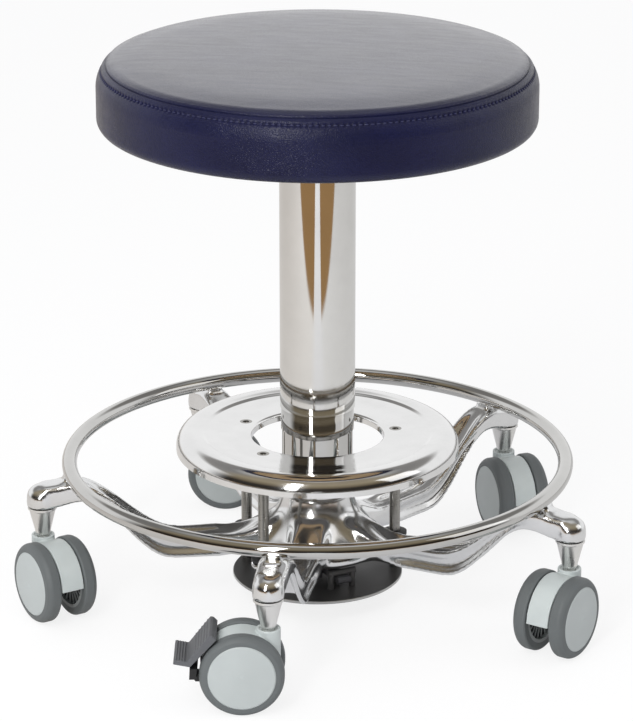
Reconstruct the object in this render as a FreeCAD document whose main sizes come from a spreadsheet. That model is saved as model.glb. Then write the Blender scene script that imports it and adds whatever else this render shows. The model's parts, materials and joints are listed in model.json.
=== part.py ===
import FreeCAD, Part
import math
import os
from types import SimpleNamespace

import Sketcher

# Surgeon stool: a round padded seat on a gas-spring column, a five-armed cast base on twin-wheel
# casters, a foot ring to rest the feet on, and a foot disc that releases the gas spring.
# Millimetres, +Z up, the column axis on Z and the floor at Z = 0; the front arm points along -Y.

SIZES = (
    # padded seat
    ("seat_dia", 400.0, "seat, widest"),
    ("seat_base_h", 459.5, "underside of the seat cover above the floor"),
    ("pad_wall_h", 37.0, "underside of the seat to the top of its upright side"),
    ("pad_seam_h", 53.5, "underside of the seat to the stitched seam"),
    ("pad_roll_h", 9.5, "stitched seam up to the end of the rolled shoulder"),
    ("pad_crown_h", 2.5, "rise of the top from the rolled shoulder to the middle"),
    ("seam_inset", 7.6, "stitched seam, in from the seat's edge"),
    ("pad_roll_run", 11.4, "stitched seam in to the end of the rolled shoulder"),
    ("pad_roll_arc", 11.8, "curve of the rolled shoulder"),
    ("pad_wall_arc", 22.0, "curve of the seat side up to the seam"),
    ("seat_edge_round", 9.5, "rounding of the lower seat edge"),
    ("cover_thick", 1.5, "leatherette thickness"),
    ("cover_wrap", 40.0, "stapled edge of the cover, in from the seat's edge"),
    ("board_inset", 14.0, "plywood board, in from the seat's edge"),
    ("board_thick", 12.0, "plywood board thickness"),
    # seat plate and swivel
    ("plate_dia", 150.0, "steel plate under the board"),
    ("plate_thick", 5.0, "steel plate thickness"),
    ("socket_dia", 56.0, "swivel socket, outside"),
    ("socket_len", 38.0, "swivel socket length"),
    ("seat_screw_circle", 124.0, "circle of the seat screws"),
    ("seat_screw_dia", 5.0, "seat screw shank"),
    ("seat_screw_head", 10.0, "seat screw head"),
    ("washer_thick", 2.0, "swivel thrust washer"),
    # column
    ("sleeve_dia", 70.0, "outer sleeve, outside"),
    ("sleeve_wall", 0.92, "wall of each chrome sleeve"),
    ("sleeve_gap", 0.08, "radial play between the sleeves"),
    ("sleeve_end_h", 188.5, "lower end of the outer sleeve"),
    ("mid_sleeve_end_h", 166.5, "lower end of the middle sleeve"),
    ("mid_sleeve_len", 130.0, "middle sleeve length"),
    ("low_sleeve_top_h", 258.5, "upper end of the lower sleeve"),
    ("stand_dia", 50.0, "stand tube, outside"),
    ("stand_bore", 46.0, "stand tube, inside"),
    ("stand_top_h", 336.5, "stand tube top"),
    ("lift_dia", 40.0, "lift tube, outside"),
    ("lift_bore", 32.0, "lift tube, inside"),
    ("lift_end_h", 128.5, "lower end of the lift tube"),
    ("bush_len", 40.0, "guide bush inside the stand tube"),
    ("spring_dia", 28.0, "gas spring cylinder, outside"),
    ("spring_bore", 24.0, "gas spring cylinder, inside"),
    ("spring_top_h", 286.5, "gas spring cylinder top"),
    ("rod_dia", 10.0, "piston rod"),
    ("valve_pin_dia", 8.0, "release pin of the gas spring"),
    ("play", 0.05, "radial play of a running fit"),
    # cast base
    ("hub_top_h", 106.0, "top of the hub"),
    ("hub_top_dia", 68.0, "hub at its top"),
    ("hub_root_dia", 124.0, "hub at its foot"),
    ("hub_low_h", 44.5, "underside of the hub"),
    ("hub_flare", 75.0, "curve of the hub's flank"),
    ("arm_low_h", 47.5, "underside of the arm at its low part"),
    ("arm_lip_h", 70.5, "top of the arm at its low part"),
    ("arm_peak_h", 109.5, "underside of the arm at its high part"),
    ("arm_top_h", 127.5, "top of the arm at its high part"),
    ("arm_rise_run", 98.0, "length over which the arm rises"),
    ("arm_end_run", 28.6, "level end of the arm, up to the caster stem"),
    ("arm_width", 28.0, "arm width at the caster"),
    ("arm_waist", 30.0, "arm width at its low part"),
    ("arm_wall", 5.5, "wall of the hollow arm"),
    ("arm_channel", 8.0, "depth of the groove on the arm"),
    ("stem_circle", 517.2, "circle of the caster stems"),
    ("boss_dia", 29.0, "boss at the arm end"),
    ("boss_low_h", 102.4, "underside of the boss"),
    ("boss_top_h", 122.5, "top of the boss"),
    ("boss_roof", 6.0, "metal above the stem in the boss"),
    ("lug_low_h", 46.5, "underside of the lugs for the pillars"),
    ("lug_thick", 8.0, "thickness of the lugs"),
    ("lug_width", 26.0, "width of the lugs"),
    # foot ring
    ("ring_inset", 26.8, "middle of the foot ring tube, inside the caster stems"),
    ("ring_tube", 14.0, "foot ring tube"),
    ("ring_h", 136.6, "foot ring above the floor"),
    # foot release
    ("disc_dia", 264.0, "foot disc"),
    ("disc_hole", 123.0, "hole in the foot disc"),
    ("disc_h", 160.5, "top of the foot disc"),
    ("disc_sheet", 2.0, "foot disc sheet thickness"),
    ("disc_rim", 14.0, "rolled rim of the foot disc"),
    ("disc_rim_width", 29.0, "raised band along the rim of the foot disc"),
    ("disc_step", 4.0, "step from the foot disc up to its raised band"),
    ("disc_skirt", 4.0, "upright edge under the rolled rim"),
    ("pillar_circle", 148.0, "circle of the three pillars"),
    ("pillar_dia", 10.0, "pillar"),
    ("pillar_foot_dia", 8.0, "riveted foot of the pillar"),
    ("foot_plate_dia", 160.0, "lower plate"),
    ("foot_plate_h", 23.5, "top of the lower plate"),
    ("foot_plate_thick", 3.0, "lower plate thickness"),
    ("disc_screw_head", 11.6, "disc screw head"),
    ("disc_screw_dia", 5.0, "disc screw shank"),
    ("lever_pivot", 18.0, "lever pivot from the column axis"),
    ("lever_reach", 50.0, "staple on the lower plate from the column axis"),
    ("lever_h", 32.5, "lever pivot above the floor"),
    ("lever_thick", 6.0, "lever thickness"),
    ("lever_width", 13.0, "lever width"),
    ("lever_pin_dia", 6.0, "lever pin"),
    # casters
    ("wheel_dia", 75.0, "caster wheel"),
    ("wheel_width", 15.0, "one wheel"),
    ("cap_dia", 60.0, "wheel core with its outer face"),
    ("hood_dia", 72.0, "hood over the wheels"),
    ("hood_width", 22.0, "hood width"),
    ("hood_wall", 3.0, "hood wall"),
    ("wheel_gap", 0.5, "gap between hood and wheel"),
    ("caster_trail", 23.0, "stem axis to wheel axle"),
    ("caster_top_h", 74.5, "top of the caster collar"),
    ("caster_collar_dia", 21.6, "caster collar"),
    ("stem_dia", 11.0, "caster stem"),
    ("stem_depth", 36.0, "caster stem inside its collar"),
    ("axle_dia", 8.0, "wheel axle"),
    ("cone_top_dia", 27.0, "stem cone, top"),
    ("cone_foot_dia", 14.0, "stem cone, foot"),
    # caster brake
    ("pedal_width", 44.0, "brake pedal across the wheels"),
    ("brake_pin_dia", 5.0, "brake pedal pivot"),
    ("brake_pin_out", 28.0, "brake pivot, out from the axle"),
    ("brake_pin_up", 6.0, "brake pivot, above the axle"),
)

ARM_AZIMUTHS = {"front": -90.0, "right": -18.0, "rear_right": 54.0, "rear_left": 126.0, "left": 198.0}
CASTER_YAWS = {"front": 189.5, "right": -113.5, "rear_right": -60.5, "rear_left": 9.5, "left": -49.0}
PILLAR_AZIMUTHS = (19.0, 165.0, 237.0)
LEVER_AZIMUTH = -54.0
SEAT_SCREW_AZIMUTHS = (45.0, 135.0, 225.0, 315.0)
WHEEL_RIBS = 24
DIAGONAL = math.sqrt(0.5)


class Size:
    """A length that carries its number and the sheet expression that gives it."""

    def __init__(self, number, text):
        self.number = number
        self.text = text

    def __add__(self, other):
        other = as_size(other)
        return Size(self.number + other.number, f"({self.text} + {other.text})")

    def __sub__(self, other):
        other = as_size(other)
        return Size(self.number - other.number, f"({self.text} - {other.text})")

    def __mul__(self, factor):
        factor = as_size(factor)
        return Size(self.number * factor.number, f"({self.text} * {factor.text})")

    def __truediv__(self, divisor):
        divisor = as_size(divisor)
        return Size(self.number / divisor.number, f"({self.text} / {divisor.text})")

    def __rsub__(self, other):
        return as_size(other) - self

    def __neg__(self):
        return as_size(0) - self

    __radd__ = __add__
    __rmul__ = __mul__


def as_size(value):
    if isinstance(value, Size):
        return value
    return Size(float(value), f"{float(value):.6f}")


def bind(target, prop, size):
    target.setExpression(prop, as_size(size).text)


doc = FreeCAD.newDocument("surgeon_stool")
sheet = doc.addObject("Spreadsheet::Sheet", "sizes")
for row, (alias, number, meaning) in enumerate(SIZES, start=1):
    sheet.set(f"A{row}", meaning)
    sheet.set(f"B{row}", str(number))
    sheet.setAlias(f"B{row}", alias)
doc.recompute()
s = SimpleNamespace(**{alias: Size(number, f"<<sizes>>.{alias}") for alias, number, _ in SIZES})

nodes = {}


def publish(label, thing):
    """Give a finished sub-part the name of its file."""
    thing.Label = label
    nodes[label] = thing
    return thing


# Sketches


def new_body(name):
    return doc.addObject("PartDesign::Body", name)


def new_sketch(body, role, lift=None):
    """A sketch on one of the body's own origin planes, raised along its normal by lift."""
    plane = next(feature for feature in body.Origin.OriginFeatures if feature.Role == role)
    sketch = body.newObject("Sketcher::SketchObject", "sketch")
    sketch.AttachmentSupport = (plane, [""])
    sketch.MapMode = "FlatFace"
    if lift is not None:
        bind(sketch, "AttachmentOffset.Base.z", lift)
    return sketch


def fix_point(sketch, geometry, end, x, y):
    """Hold one end of a sketch edge at x, y, each bound to the sheet."""
    for kind, size in (("DistanceX", x), ("DistanceY", y)):
        size = as_size(size)
        index = sketch.addConstraint(Sketcher.Constraint(kind, -1, 1, geometry, end, size.number))
        sketch.setExpression(f"Constraints[{index}]", size.text)


def arc_between(start, finish, radius, turn):
    """The shorter arc from start to finish that bends to the left or to the right."""
    chord = finish - start
    side = 1.0 if turn == "left" else -1.0
    across = FreeCAD.Vector(-chord.y, chord.x, 0) * (side / chord.Length)
    rise = math.sqrt(max(radius ** 2 - chord.Length ** 2 / 4, 0.0))
    centre = (start + finish) / 2 + across * rise
    first, last = (start, finish) if turn == "left" else (finish, start)
    angles = [math.atan2(place.y - centre.y, place.x - centre.x) for place in (first, last)]
    circle = Part.Circle(centre, FreeCAD.Vector(0, 0, 1), radius)
    return Part.ArcOfCircle(circle, angles[0], angles[1])


def draw_outline(sketch, corners):
    """One closed outline. A corner is (x, y); (x, y, radius, turn) bends the edge that leaves it."""
    places = [FreeCAD.Vector(as_size(c[0]).number, as_size(c[1]).number, 0) for c in corners]
    ends = []
    for index, corner in enumerate(corners):
        start = places[index]
        finish = places[(index + 1) % len(corners)]
        if len(corner) == 2:
            geometry = sketch.addGeometry(Part.LineSegment(start, finish))
            ends.append((geometry, 1, 2))
            continue
        radius = as_size(corner[2])
        geometry = sketch.addGeometry(arc_between(start, finish, radius.number, corner[3]))
        ends.append((geometry, 1, 2) if corner[3] == "left" else (geometry, 2, 1))
        held = sketch.addConstraint(Sketcher.Constraint("Radius", geometry, radius.number))
        sketch.setExpression(f"Constraints[{held}]", radius.text)
    for index, (geometry, first, last) in enumerate(ends):
        following, follow_first, _ = ends[(index + 1) % len(ends)]
        sketch.addConstraint(Sketcher.Constraint("Coincident", geometry, last, following, follow_first))
        fix_point(sketch, geometry, first, corners[index][0], corners[index][1])


def draw_circle(sketch, x, y, radius):
    radius = as_size(radius)
    centre = FreeCAD.Vector(as_size(x).number, as_size(y).number, 0)
    circle = Part.Circle(centre, FreeCAD.Vector(0, 0, 1), radius.number)
    geometry = sketch.addGeometry(circle)
    held = sketch.addConstraint(Sketcher.Constraint("Radius", geometry, radius.number))
    sketch.setExpression(f"Constraints[{held}]", radius.text)
    fix_point(sketch, geometry, 3, x, y)


# Features


def revolve(body, corners):
    """Turn an outline of (radius, height) corners round the body's Z axis."""
    sketch = new_sketch(body, "XZ_Plane")
    draw_outline(sketch, corners)
    feature = body.newObject("PartDesign::Revolution", "revolution")
    feature.Profile = sketch
    feature.ReferenceAxis = (sketch, ["V_Axis"])
    feature.Angle = 360
    body.Tip = feature
    return feature


def turned(name, corners):
    body = new_body(name)
    revolve(body, corners)
    return body


def tube(name, outer_dia, inner_dia, low, high):
    return turned(name, [
        (inner_dia / 2, low),
        (outer_dia / 2, low),
        (outer_dia / 2, high),
        (inner_dia / 2, high),
    ])


def pad(body, sketch, length, symmetric=False):
    feature = body.newObject("PartDesign::Pad", "pad")
    feature.Profile = sketch
    bind(feature, "Length", length)
    if symmetric:
        feature.SideType = "Symmetric"
    body.Tip = feature
    return feature


def pocket(body, sketch, depth, symmetric=False):
    feature = body.newObject("PartDesign::Pocket", "pocket")
    feature.Profile = sketch
    bind(feature, "Length", depth)
    if symmetric:
        feature.SideType = "Symmetric"
    body.Tip = feature
    return feature


def side_pad(body, corners, width):
    """Pad an outline in the XZ plane to both sides."""
    sketch = new_sketch(body, "XZ_Plane")
    draw_outline(sketch, corners)
    return pad(body, sketch, width, symmetric=True)


def round_holes(body, height, depth, hole_dia, circle_dia, azimuths):
    """Round holes on a circle, cut down from a height."""
    sketch = new_sketch(body, "XY_Plane", lift=height)
    for azimuth in azimuths:
        east = math.cos(math.radians(azimuth))
        north = math.sin(math.radians(azimuth))
        draw_circle(sketch, circle_dia * east / 2, circle_dia * north / 2, hole_dia / 2)
    return pocket(body, sketch, depth)


def link_to(source, name, placement):
    copy = doc.addObject("App::Link", name)
    copy.LinkedObject = source
    copy.Placement = placement
    return copy


def turned_about_z(azimuth, out=0.0, up=0.0):
    """The placement that moves a piece out along X and then turns it to an azimuth."""
    spin = FreeCAD.Rotation(FreeCAD.Vector(0, 0, 1), azimuth)
    return FreeCAD.Placement(spin.multVec(FreeCAD.Vector(out, 0, up)), spin)


def copies_on_circle(name, source, circle_dia, azimuths):
    """The same piece several times on a circle, as one group of separate solids."""
    group = doc.addObject("Part::Compound", name)
    group.Links = [
        link_to(source, f"{name}_{index}", turned_about_z(azimuth, out=circle_dia.number / 2))
        for index, azimuth in enumerate(azimuths)
    ]
    return group


def dome_radius(radius, rise):
    """The ball radius of a dome over a round edge."""
    return radius * radius / (rise * 2) + rise / 2


# Padded seat


def seat_outline():
    """Corners of the cover's outside and inside, from the crown to the stapled edge."""
    thick = s.cover_thick
    low = s.seat_base_h
    radius = s.seat_dia / 2
    wall_h = low + s.pad_wall_h
    seam_h = low + s.pad_seam_h
    seam_radius = radius - s.seam_inset
    shoulder_h = seam_h + s.pad_roll_h
    shoulder_radius = seam_radius - s.pad_roll_run
    crown_h = shoulder_h + s.pad_crown_h
    wrap_radius = radius - s.cover_wrap
    return SimpleNamespace(
        crown=(0, crown_h),
        shoulder=(shoulder_radius, shoulder_h),
        seam=(seam_radius, seam_h),
        wall_top=(radius, wall_h),
        wall_low=(radius, low + s.seat_edge_round),
        under=(radius - s.seat_edge_round, low),
        wrap=(wrap_radius, low),
        in_crown=(0, crown_h - thick),
        in_shoulder=(shoulder_radius, shoulder_h - thick),
        in_seam=(seam_radius - thick, seam_h - thick * 0.6),
        in_wall_top=(radius - thick, wall_h),
        in_wall_low=(radius - thick, low + s.seat_edge_round),
        in_under=(radius - s.seat_edge_round, low + thick),
        in_wrap=(wrap_radius, low + thick),
    )


def build_seat():
    at = seat_outline()
    inner_edge = s.seat_edge_round - s.cover_thick
    roll_arc = s.pad_roll_arc
    wall_arc = s.pad_wall_arc
    crown_arc = dome_radius(at.shoulder[0], s.pad_crown_h)
    publish("seat_cover_top", turned("seat_cover_top", [
        (*at.in_crown, crown_arc, "right"),
        (*at.in_shoulder, roll_arc, "right"),
        at.in_seam,
        (*at.seam, roll_arc, "left"),
        (*at.shoulder, crown_arc, "left"),
        at.crown,
    ]))
    publish("seat_cover_band", turned("seat_cover_band", [
        at.wrap,
        (*at.under, s.seat_edge_round, "left"),
        at.wall_low,
        (*at.wall_top, wall_arc, "left"),
        at.seam,
        (*at.in_seam, wall_arc, "right"),
        at.in_wall_top,
        (*at.in_wall_low, inner_edge, "right"),
        at.in_under,
        at.in_wrap,
    ]))
    board_low = s.seat_base_h + s.cover_thick
    board_top = board_low + s.board_thick
    board_radius = s.seat_dia / 2 - s.board_inset
    publish("seat_foam", turned("seat_foam", [
        (0, board_top),
        (board_radius, board_top),
        (board_radius, board_low),
        (*at.in_under, inner_edge, "left"),
        at.in_wall_low,
        (*at.in_wall_top, wall_arc, "left"),
        (*at.in_seam, roll_arc, "left"),
        (*at.in_shoulder, crown_arc, "left"),
        at.in_crown,
    ]))
    board = turned("seat_board", [
        (0, board_low),
        (board_radius, board_low),
        (board_radius, board_top),
        (0, board_top),
    ])
    screw_depth = s.board_thick * 0.7
    round_holes(board, board_low + screw_depth, screw_depth,
                s.seat_screw_dia, s.seat_screw_circle, SEAT_SCREW_AZIMUTHS)
    publish("seat_board", board)

    plate_low = board_low - s.plate_thick
    plate = turned("seat_plate", [
        (0, plate_low),
        (s.lift_dia / 2 + s.play, plate_low),
        (s.lift_dia / 2 + s.play, plate_low - s.socket_len),
        (s.socket_dia / 2, plate_low - s.socket_len),
        (s.socket_dia / 2, plate_low),
        (s.plate_dia / 2, plate_low),
        (s.plate_dia / 2, board_low),
        (0, board_low),
    ])
    round_holes(plate, board_low, s.plate_thick,
                s.seat_screw_dia, s.seat_screw_circle, SEAT_SCREW_AZIMUTHS)
    publish("seat_plate", plate)

    head_height = s.seat_screw_head * 0.4
    screw = turned("seat_screw", [
        (0, plate_low - head_height),
        (s.seat_screw_head * 0.3, plate_low - head_height),
        (s.seat_screw_head / 2, plate_low - head_height * 0.5),
        (s.seat_screw_head / 2, plate_low),
        (s.seat_screw_dia / 2, plate_low),
        (s.seat_screw_dia / 2, board_low + screw_depth),
        (0, board_low + screw_depth),
    ])
    publish("seat_screws",
            copies_on_circle("seat_screws", screw, s.seat_screw_circle, SEAT_SCREW_AZIMUTHS))
    return plate_low


# Column


def build_column(plate_low):
    outer_bore = s.sleeve_dia - s.sleeve_wall * 2
    mid_dia = outer_bore - s.sleeve_gap * 2
    mid_bore = mid_dia - s.sleeve_wall * 2
    low_dia = mid_bore - s.sleeve_gap * 2
    low_bore = low_dia - s.sleeve_wall * 2
    publish("sleeve_outer", tube("sleeve_outer", s.sleeve_dia, outer_bore, s.sleeve_end_h, plate_low))
    publish("sleeve_middle", tube("sleeve_middle", mid_dia, mid_bore,
                                  s.mid_sleeve_end_h, s.mid_sleeve_end_h + s.mid_sleeve_len))
    publish("sleeve_lower", tube("sleeve_lower", low_dia, low_bore, s.hub_top_h, s.low_sleeve_top_h))

    floor_thick = 6.0
    stand_floor = s.hub_low_h + floor_thick
    pin_bore = s.valve_pin_dia / 2 + s.play
    publish("stand_tube", turned("stand_tube", [
        (pin_bore, s.hub_low_h),
        (s.stand_dia / 2, s.hub_low_h),
        (s.stand_dia / 2, s.stand_top_h),
        (s.stand_bore / 2, s.stand_top_h),
        (s.stand_bore / 2, stand_floor),
        (pin_bore, stand_floor),
    ]))
    flange_thick = 4.0
    slide_bore = s.lift_dia / 2 + s.play
    publish("guide_bush", turned("guide_bush", [
        (slide_bore, s.stand_top_h - s.bush_len),
        (s.stand_bore / 2, s.stand_top_h - s.bush_len),
        (s.stand_bore / 2, s.stand_top_h),
        (s.stand_dia / 2, s.stand_top_h),
        (s.stand_dia / 2, s.stand_top_h + flange_thick),
        (slide_bore, s.stand_top_h + flange_thick),
    ]))
    valve_thick = 16.0
    head_thick = 10.0
    valve_top = stand_floor + valve_thick
    publish("gas_cylinder", turned("gas_cylinder", [
        (s.valve_pin_dia / 2 + s.play, stand_floor),
        (s.spring_dia / 2, stand_floor),
        (s.spring_dia / 2, s.spring_top_h),
        (s.rod_dia / 2 + s.play, s.spring_top_h),
        (s.rod_dia / 2 + s.play, s.spring_top_h - head_thick),
        (s.spring_bore / 2, s.spring_top_h - head_thick),
        (s.spring_bore / 2, valve_top),
        (s.valve_pin_dia / 2 + s.play, valve_top),
    ]))
    washer_low = plate_low - s.washer_thick
    cap_low = washer_low - 10.0
    piston_low = valve_top + 5.0
    piston_thick = 12.0
    piston_radius = s.spring_bore / 2 - s.play
    publish("piston_rod", turned("piston_rod", [
        (0, piston_low),
        (piston_radius, piston_low),
        (piston_radius, piston_low + piston_thick),
        (s.rod_dia / 2, piston_low + piston_thick),
        (s.rod_dia / 2, cap_low),
        (0, cap_low),
    ]))
    shoe_len = 12.0
    shoe_radius = s.stand_bore / 2 - s.play
    publish("lift_tube", turned("lift_tube", [
        (s.lift_bore / 2, s.lift_end_h),
        (shoe_radius, s.lift_end_h),
        (shoe_radius, s.lift_end_h + shoe_len),
        (s.lift_dia / 2, s.lift_end_h + shoe_len),
        (s.lift_dia / 2, washer_low),
        (0, washer_low),
        (0, cap_low),
        (s.lift_bore / 2, cap_low),
    ]))
    publish("swivel_washer", turned("swivel_washer", [
        (0, washer_low),
        (s.lift_dia / 2 - 0.5, washer_low),
        (s.lift_dia / 2 - 0.5, plate_low),
        (0, plate_low),
    ]))
    pin_low = s.lever_h + s.lever_thick / 2 + 0.5
    publish("valve_pin", turned("valve_pin", [
        (0, pin_low),
        (s.valve_pin_dia / 2, pin_low),
        (s.valve_pin_dia / 2, stand_floor + 10.0),
        (0, stand_floor + 10.0),
    ]))


# Cast base


def smooth(start, end, value):
    """0 before start, 1 after end, and an S-shaped change between them."""
    share = min(max((value - start) / (end - start), 0.0), 1.0)
    return share * share * (3.0 - 2.0 * share)


def arm_marks():
    """Radii where the arm starts to rise, where it is level again and where its caster stem stands."""
    stem = s.stem_circle.number / 2
    rise_end = stem - s.arm_end_run.number
    return rise_end - s.arm_rise_run.number, rise_end, stem


def arm_section(radius):
    """Control points of one arm section, square to its length: two walls with a web between them."""
    rise_start, rise_end, stem = arm_marks()
    root = s.hub_root_dia.number / 2
    level_low = s.arm_low_h.number
    level_top = s.arm_lip_h.number
    low = level_low + (s.arm_peak_h.number - level_low) * smooth(rise_start + 9.0, rise_end - 9.0, radius)
    low -= (s.arm_peak_h.number - s.boss_low_h.number - 1.5) * smooth(rise_end, stem, radius)
    top = level_top + (s.arm_top_h.number - level_top) * smooth(rise_start, rise_end, radius)
    top += (s.hub_top_h.number - 4.0 - level_top) * (1.0 - smooth(20.0, 1.15 * root, radius))
    top -= (s.arm_top_h.number - s.boss_top_h.number) * smooth(rise_end - 6.0, stem, radius)
    waist = s.arm_waist.number / 2
    half = waist + (s.arm_width.number / 2 - waist) * smooth(rise_start, rise_end, radius)
    tuck = smooth(rise_end + 4.0, stem, radius)
    half -= 0.18 * half * tuck
    top -= 0.5 * s.arm_wall.number * tuck
    flare = waist * 0.16 * smooth(10.0, 0.85 * root, radius)
    half += flare * (1.0 - smooth(root, 2.0 * root, radius))
    groove = s.arm_channel.number * smooth(0.6 * root, 1.3 * root, radius)
    groove *= 1.0 - smooth(rise_end - 34.0, rise_end - 10.0, radius)
    hollow = (top - low) * 0.42 * smooth(root, 1.5 * root, radius)
    hollow *= 1.0 - smooth(rise_end - 18.0, rise_end, radius)
    wall = s.arm_wall.number
    inner = half - wall
    rounder = smooth(rise_end - 40.0, rise_end, radius)
    crest = inner - wall * rounder
    edge_round = 4.0
    top_round = edge_round + wall * 1.6 * rounder
    right_side = [
        (inner * 0.4, low + hollow),
        (inner - 1.5, low + hollow),
        (inner, low),
        (half, low),
        (half, low + edge_round),
        (half, top - top_round),
        (half, top),
        (crest, top),
        (crest * 0.8, top - groove),
        (crest * 0.4, top - groove),
    ]
    left_side = [(-across, height) for across, height in reversed(right_side)]
    return [FreeCAD.Vector(radius, across, height) for across, height in right_side + left_side]


def build_arm():
    """One smooth skin from the hub to the boss, closed by flat ends, as a solid along +X."""
    rise_start, rise_end, stem = arm_marks()
    first = s.stand_dia.number / 2 + 3.0
    stations = [first + (rise_start - first) * share / 7.0 for share in range(7)]
    stations += [rise_start + (rise_end - rise_start) * share / 8.0 for share in range(9)]
    stations += [rise_end + (stem - rise_end) * share / 3.0 for share in range(1, 4)]
    net = [arm_section(radius) for radius in stations]
    around = len(net[0])
    spans = len(net) - 3
    skin = Part.BSplineSurface()
    skin.buildFromPolesMultsKnots(
        net,
        [4] + [1] * (spans - 1) + [4],
        [1] * (around + 1),
        list(range(spans + 1)),
        list(range(around + 1)),
        False, True, 3, 2,
    )
    faces = []
    for quarter in range(4):
        patch = skin.copy()
        patch.segment(0, spans, around * quarter / 4, around * (quarter + 1) / 4)
        faces.append(patch.toShape())
    for station in (stations[0], stations[-1]):
        rim = [edge for face in faces for edge in face.Edges
               if abs(edge.BoundBox.XMin - station) < 1e-4 and abs(edge.BoundBox.XMax - station) < 1e-4]
        faces.append(Part.Face(Part.Wire(Part.__sortEdges__(rim))))
    shell = Part.Shell(faces)
    shell.sewShape()
    arm = doc.addObject("Part::Feature", "arm_skin")
    arm.Shape = Part.Solid(shell)
    return arm


def build_boss():
    """The rounded end of an arm, standing on its own axis."""
    radius = s.boss_dia / 2
    dome = radius * 0.85
    return turned("boss", [
        (0, s.boss_low_h),
        (radius - 1.0, s.boss_low_h),
        (radius, s.boss_low_h + 1.5),
        (radius, s.boss_top_h - dome, dome_radius(radius, dome), "left"),
        (0, s.boss_top_h),
    ])


def build_hub():
    top = s.hub_top_h
    return turned("hub", [
        (s.stand_dia / 2, s.hub_low_h),
        (s.hub_root_dia / 2 - 2.0, s.hub_low_h),
        (s.hub_root_dia / 2, s.hub_low_h + 2.0),
        (s.hub_root_dia / 2, s.hub_low_h + 11.0, s.hub_flare, "right"),
        (s.hub_top_dia / 2, top - 4.0),
        (s.hub_top_dia / 2, top - 1.5),
        (s.hub_top_dia / 2 - 1.5, top),
        (s.stand_dia / 2, top),
    ])


def build_ear():
    """A lug on the hub that carries the guide of a pillar; it points along +X."""
    body = new_body("ear")
    out = s.pillar_circle / 2
    half = s.lug_width / 2
    root = s.hub_root_dia / 2 - 18.0
    sketch = new_sketch(body, "XY_Plane", lift=s.lug_low_h)
    draw_outline(sketch, [
        (root, -half),
        (out, -half, half + 0.001, "left"),
        (out, half),
        (root, half),
    ])
    pad(body, sketch, s.lug_thick)
    return body


def build_saddle():
    """The lug between an arm and the foot ring, before the ring's bed is cut; it points along +X."""
    body = new_body("saddle")
    mid = s.stem_circle / 2 - s.ring_inset
    bed = s.ring_h - s.ring_tube * 0.2
    side_pad(body, [
        (mid - 13.0, s.arm_top_h - 6.0),
        (mid + 13.0, s.arm_top_h - 6.0),
        (mid + 7.0, s.arm_top_h + 1.0),
        (mid + 6.0, bed),
        (mid - 6.0, bed),
        (mid - 7.0, s.arm_top_h + 1.0),
    ], 15.0)
    return body


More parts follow.
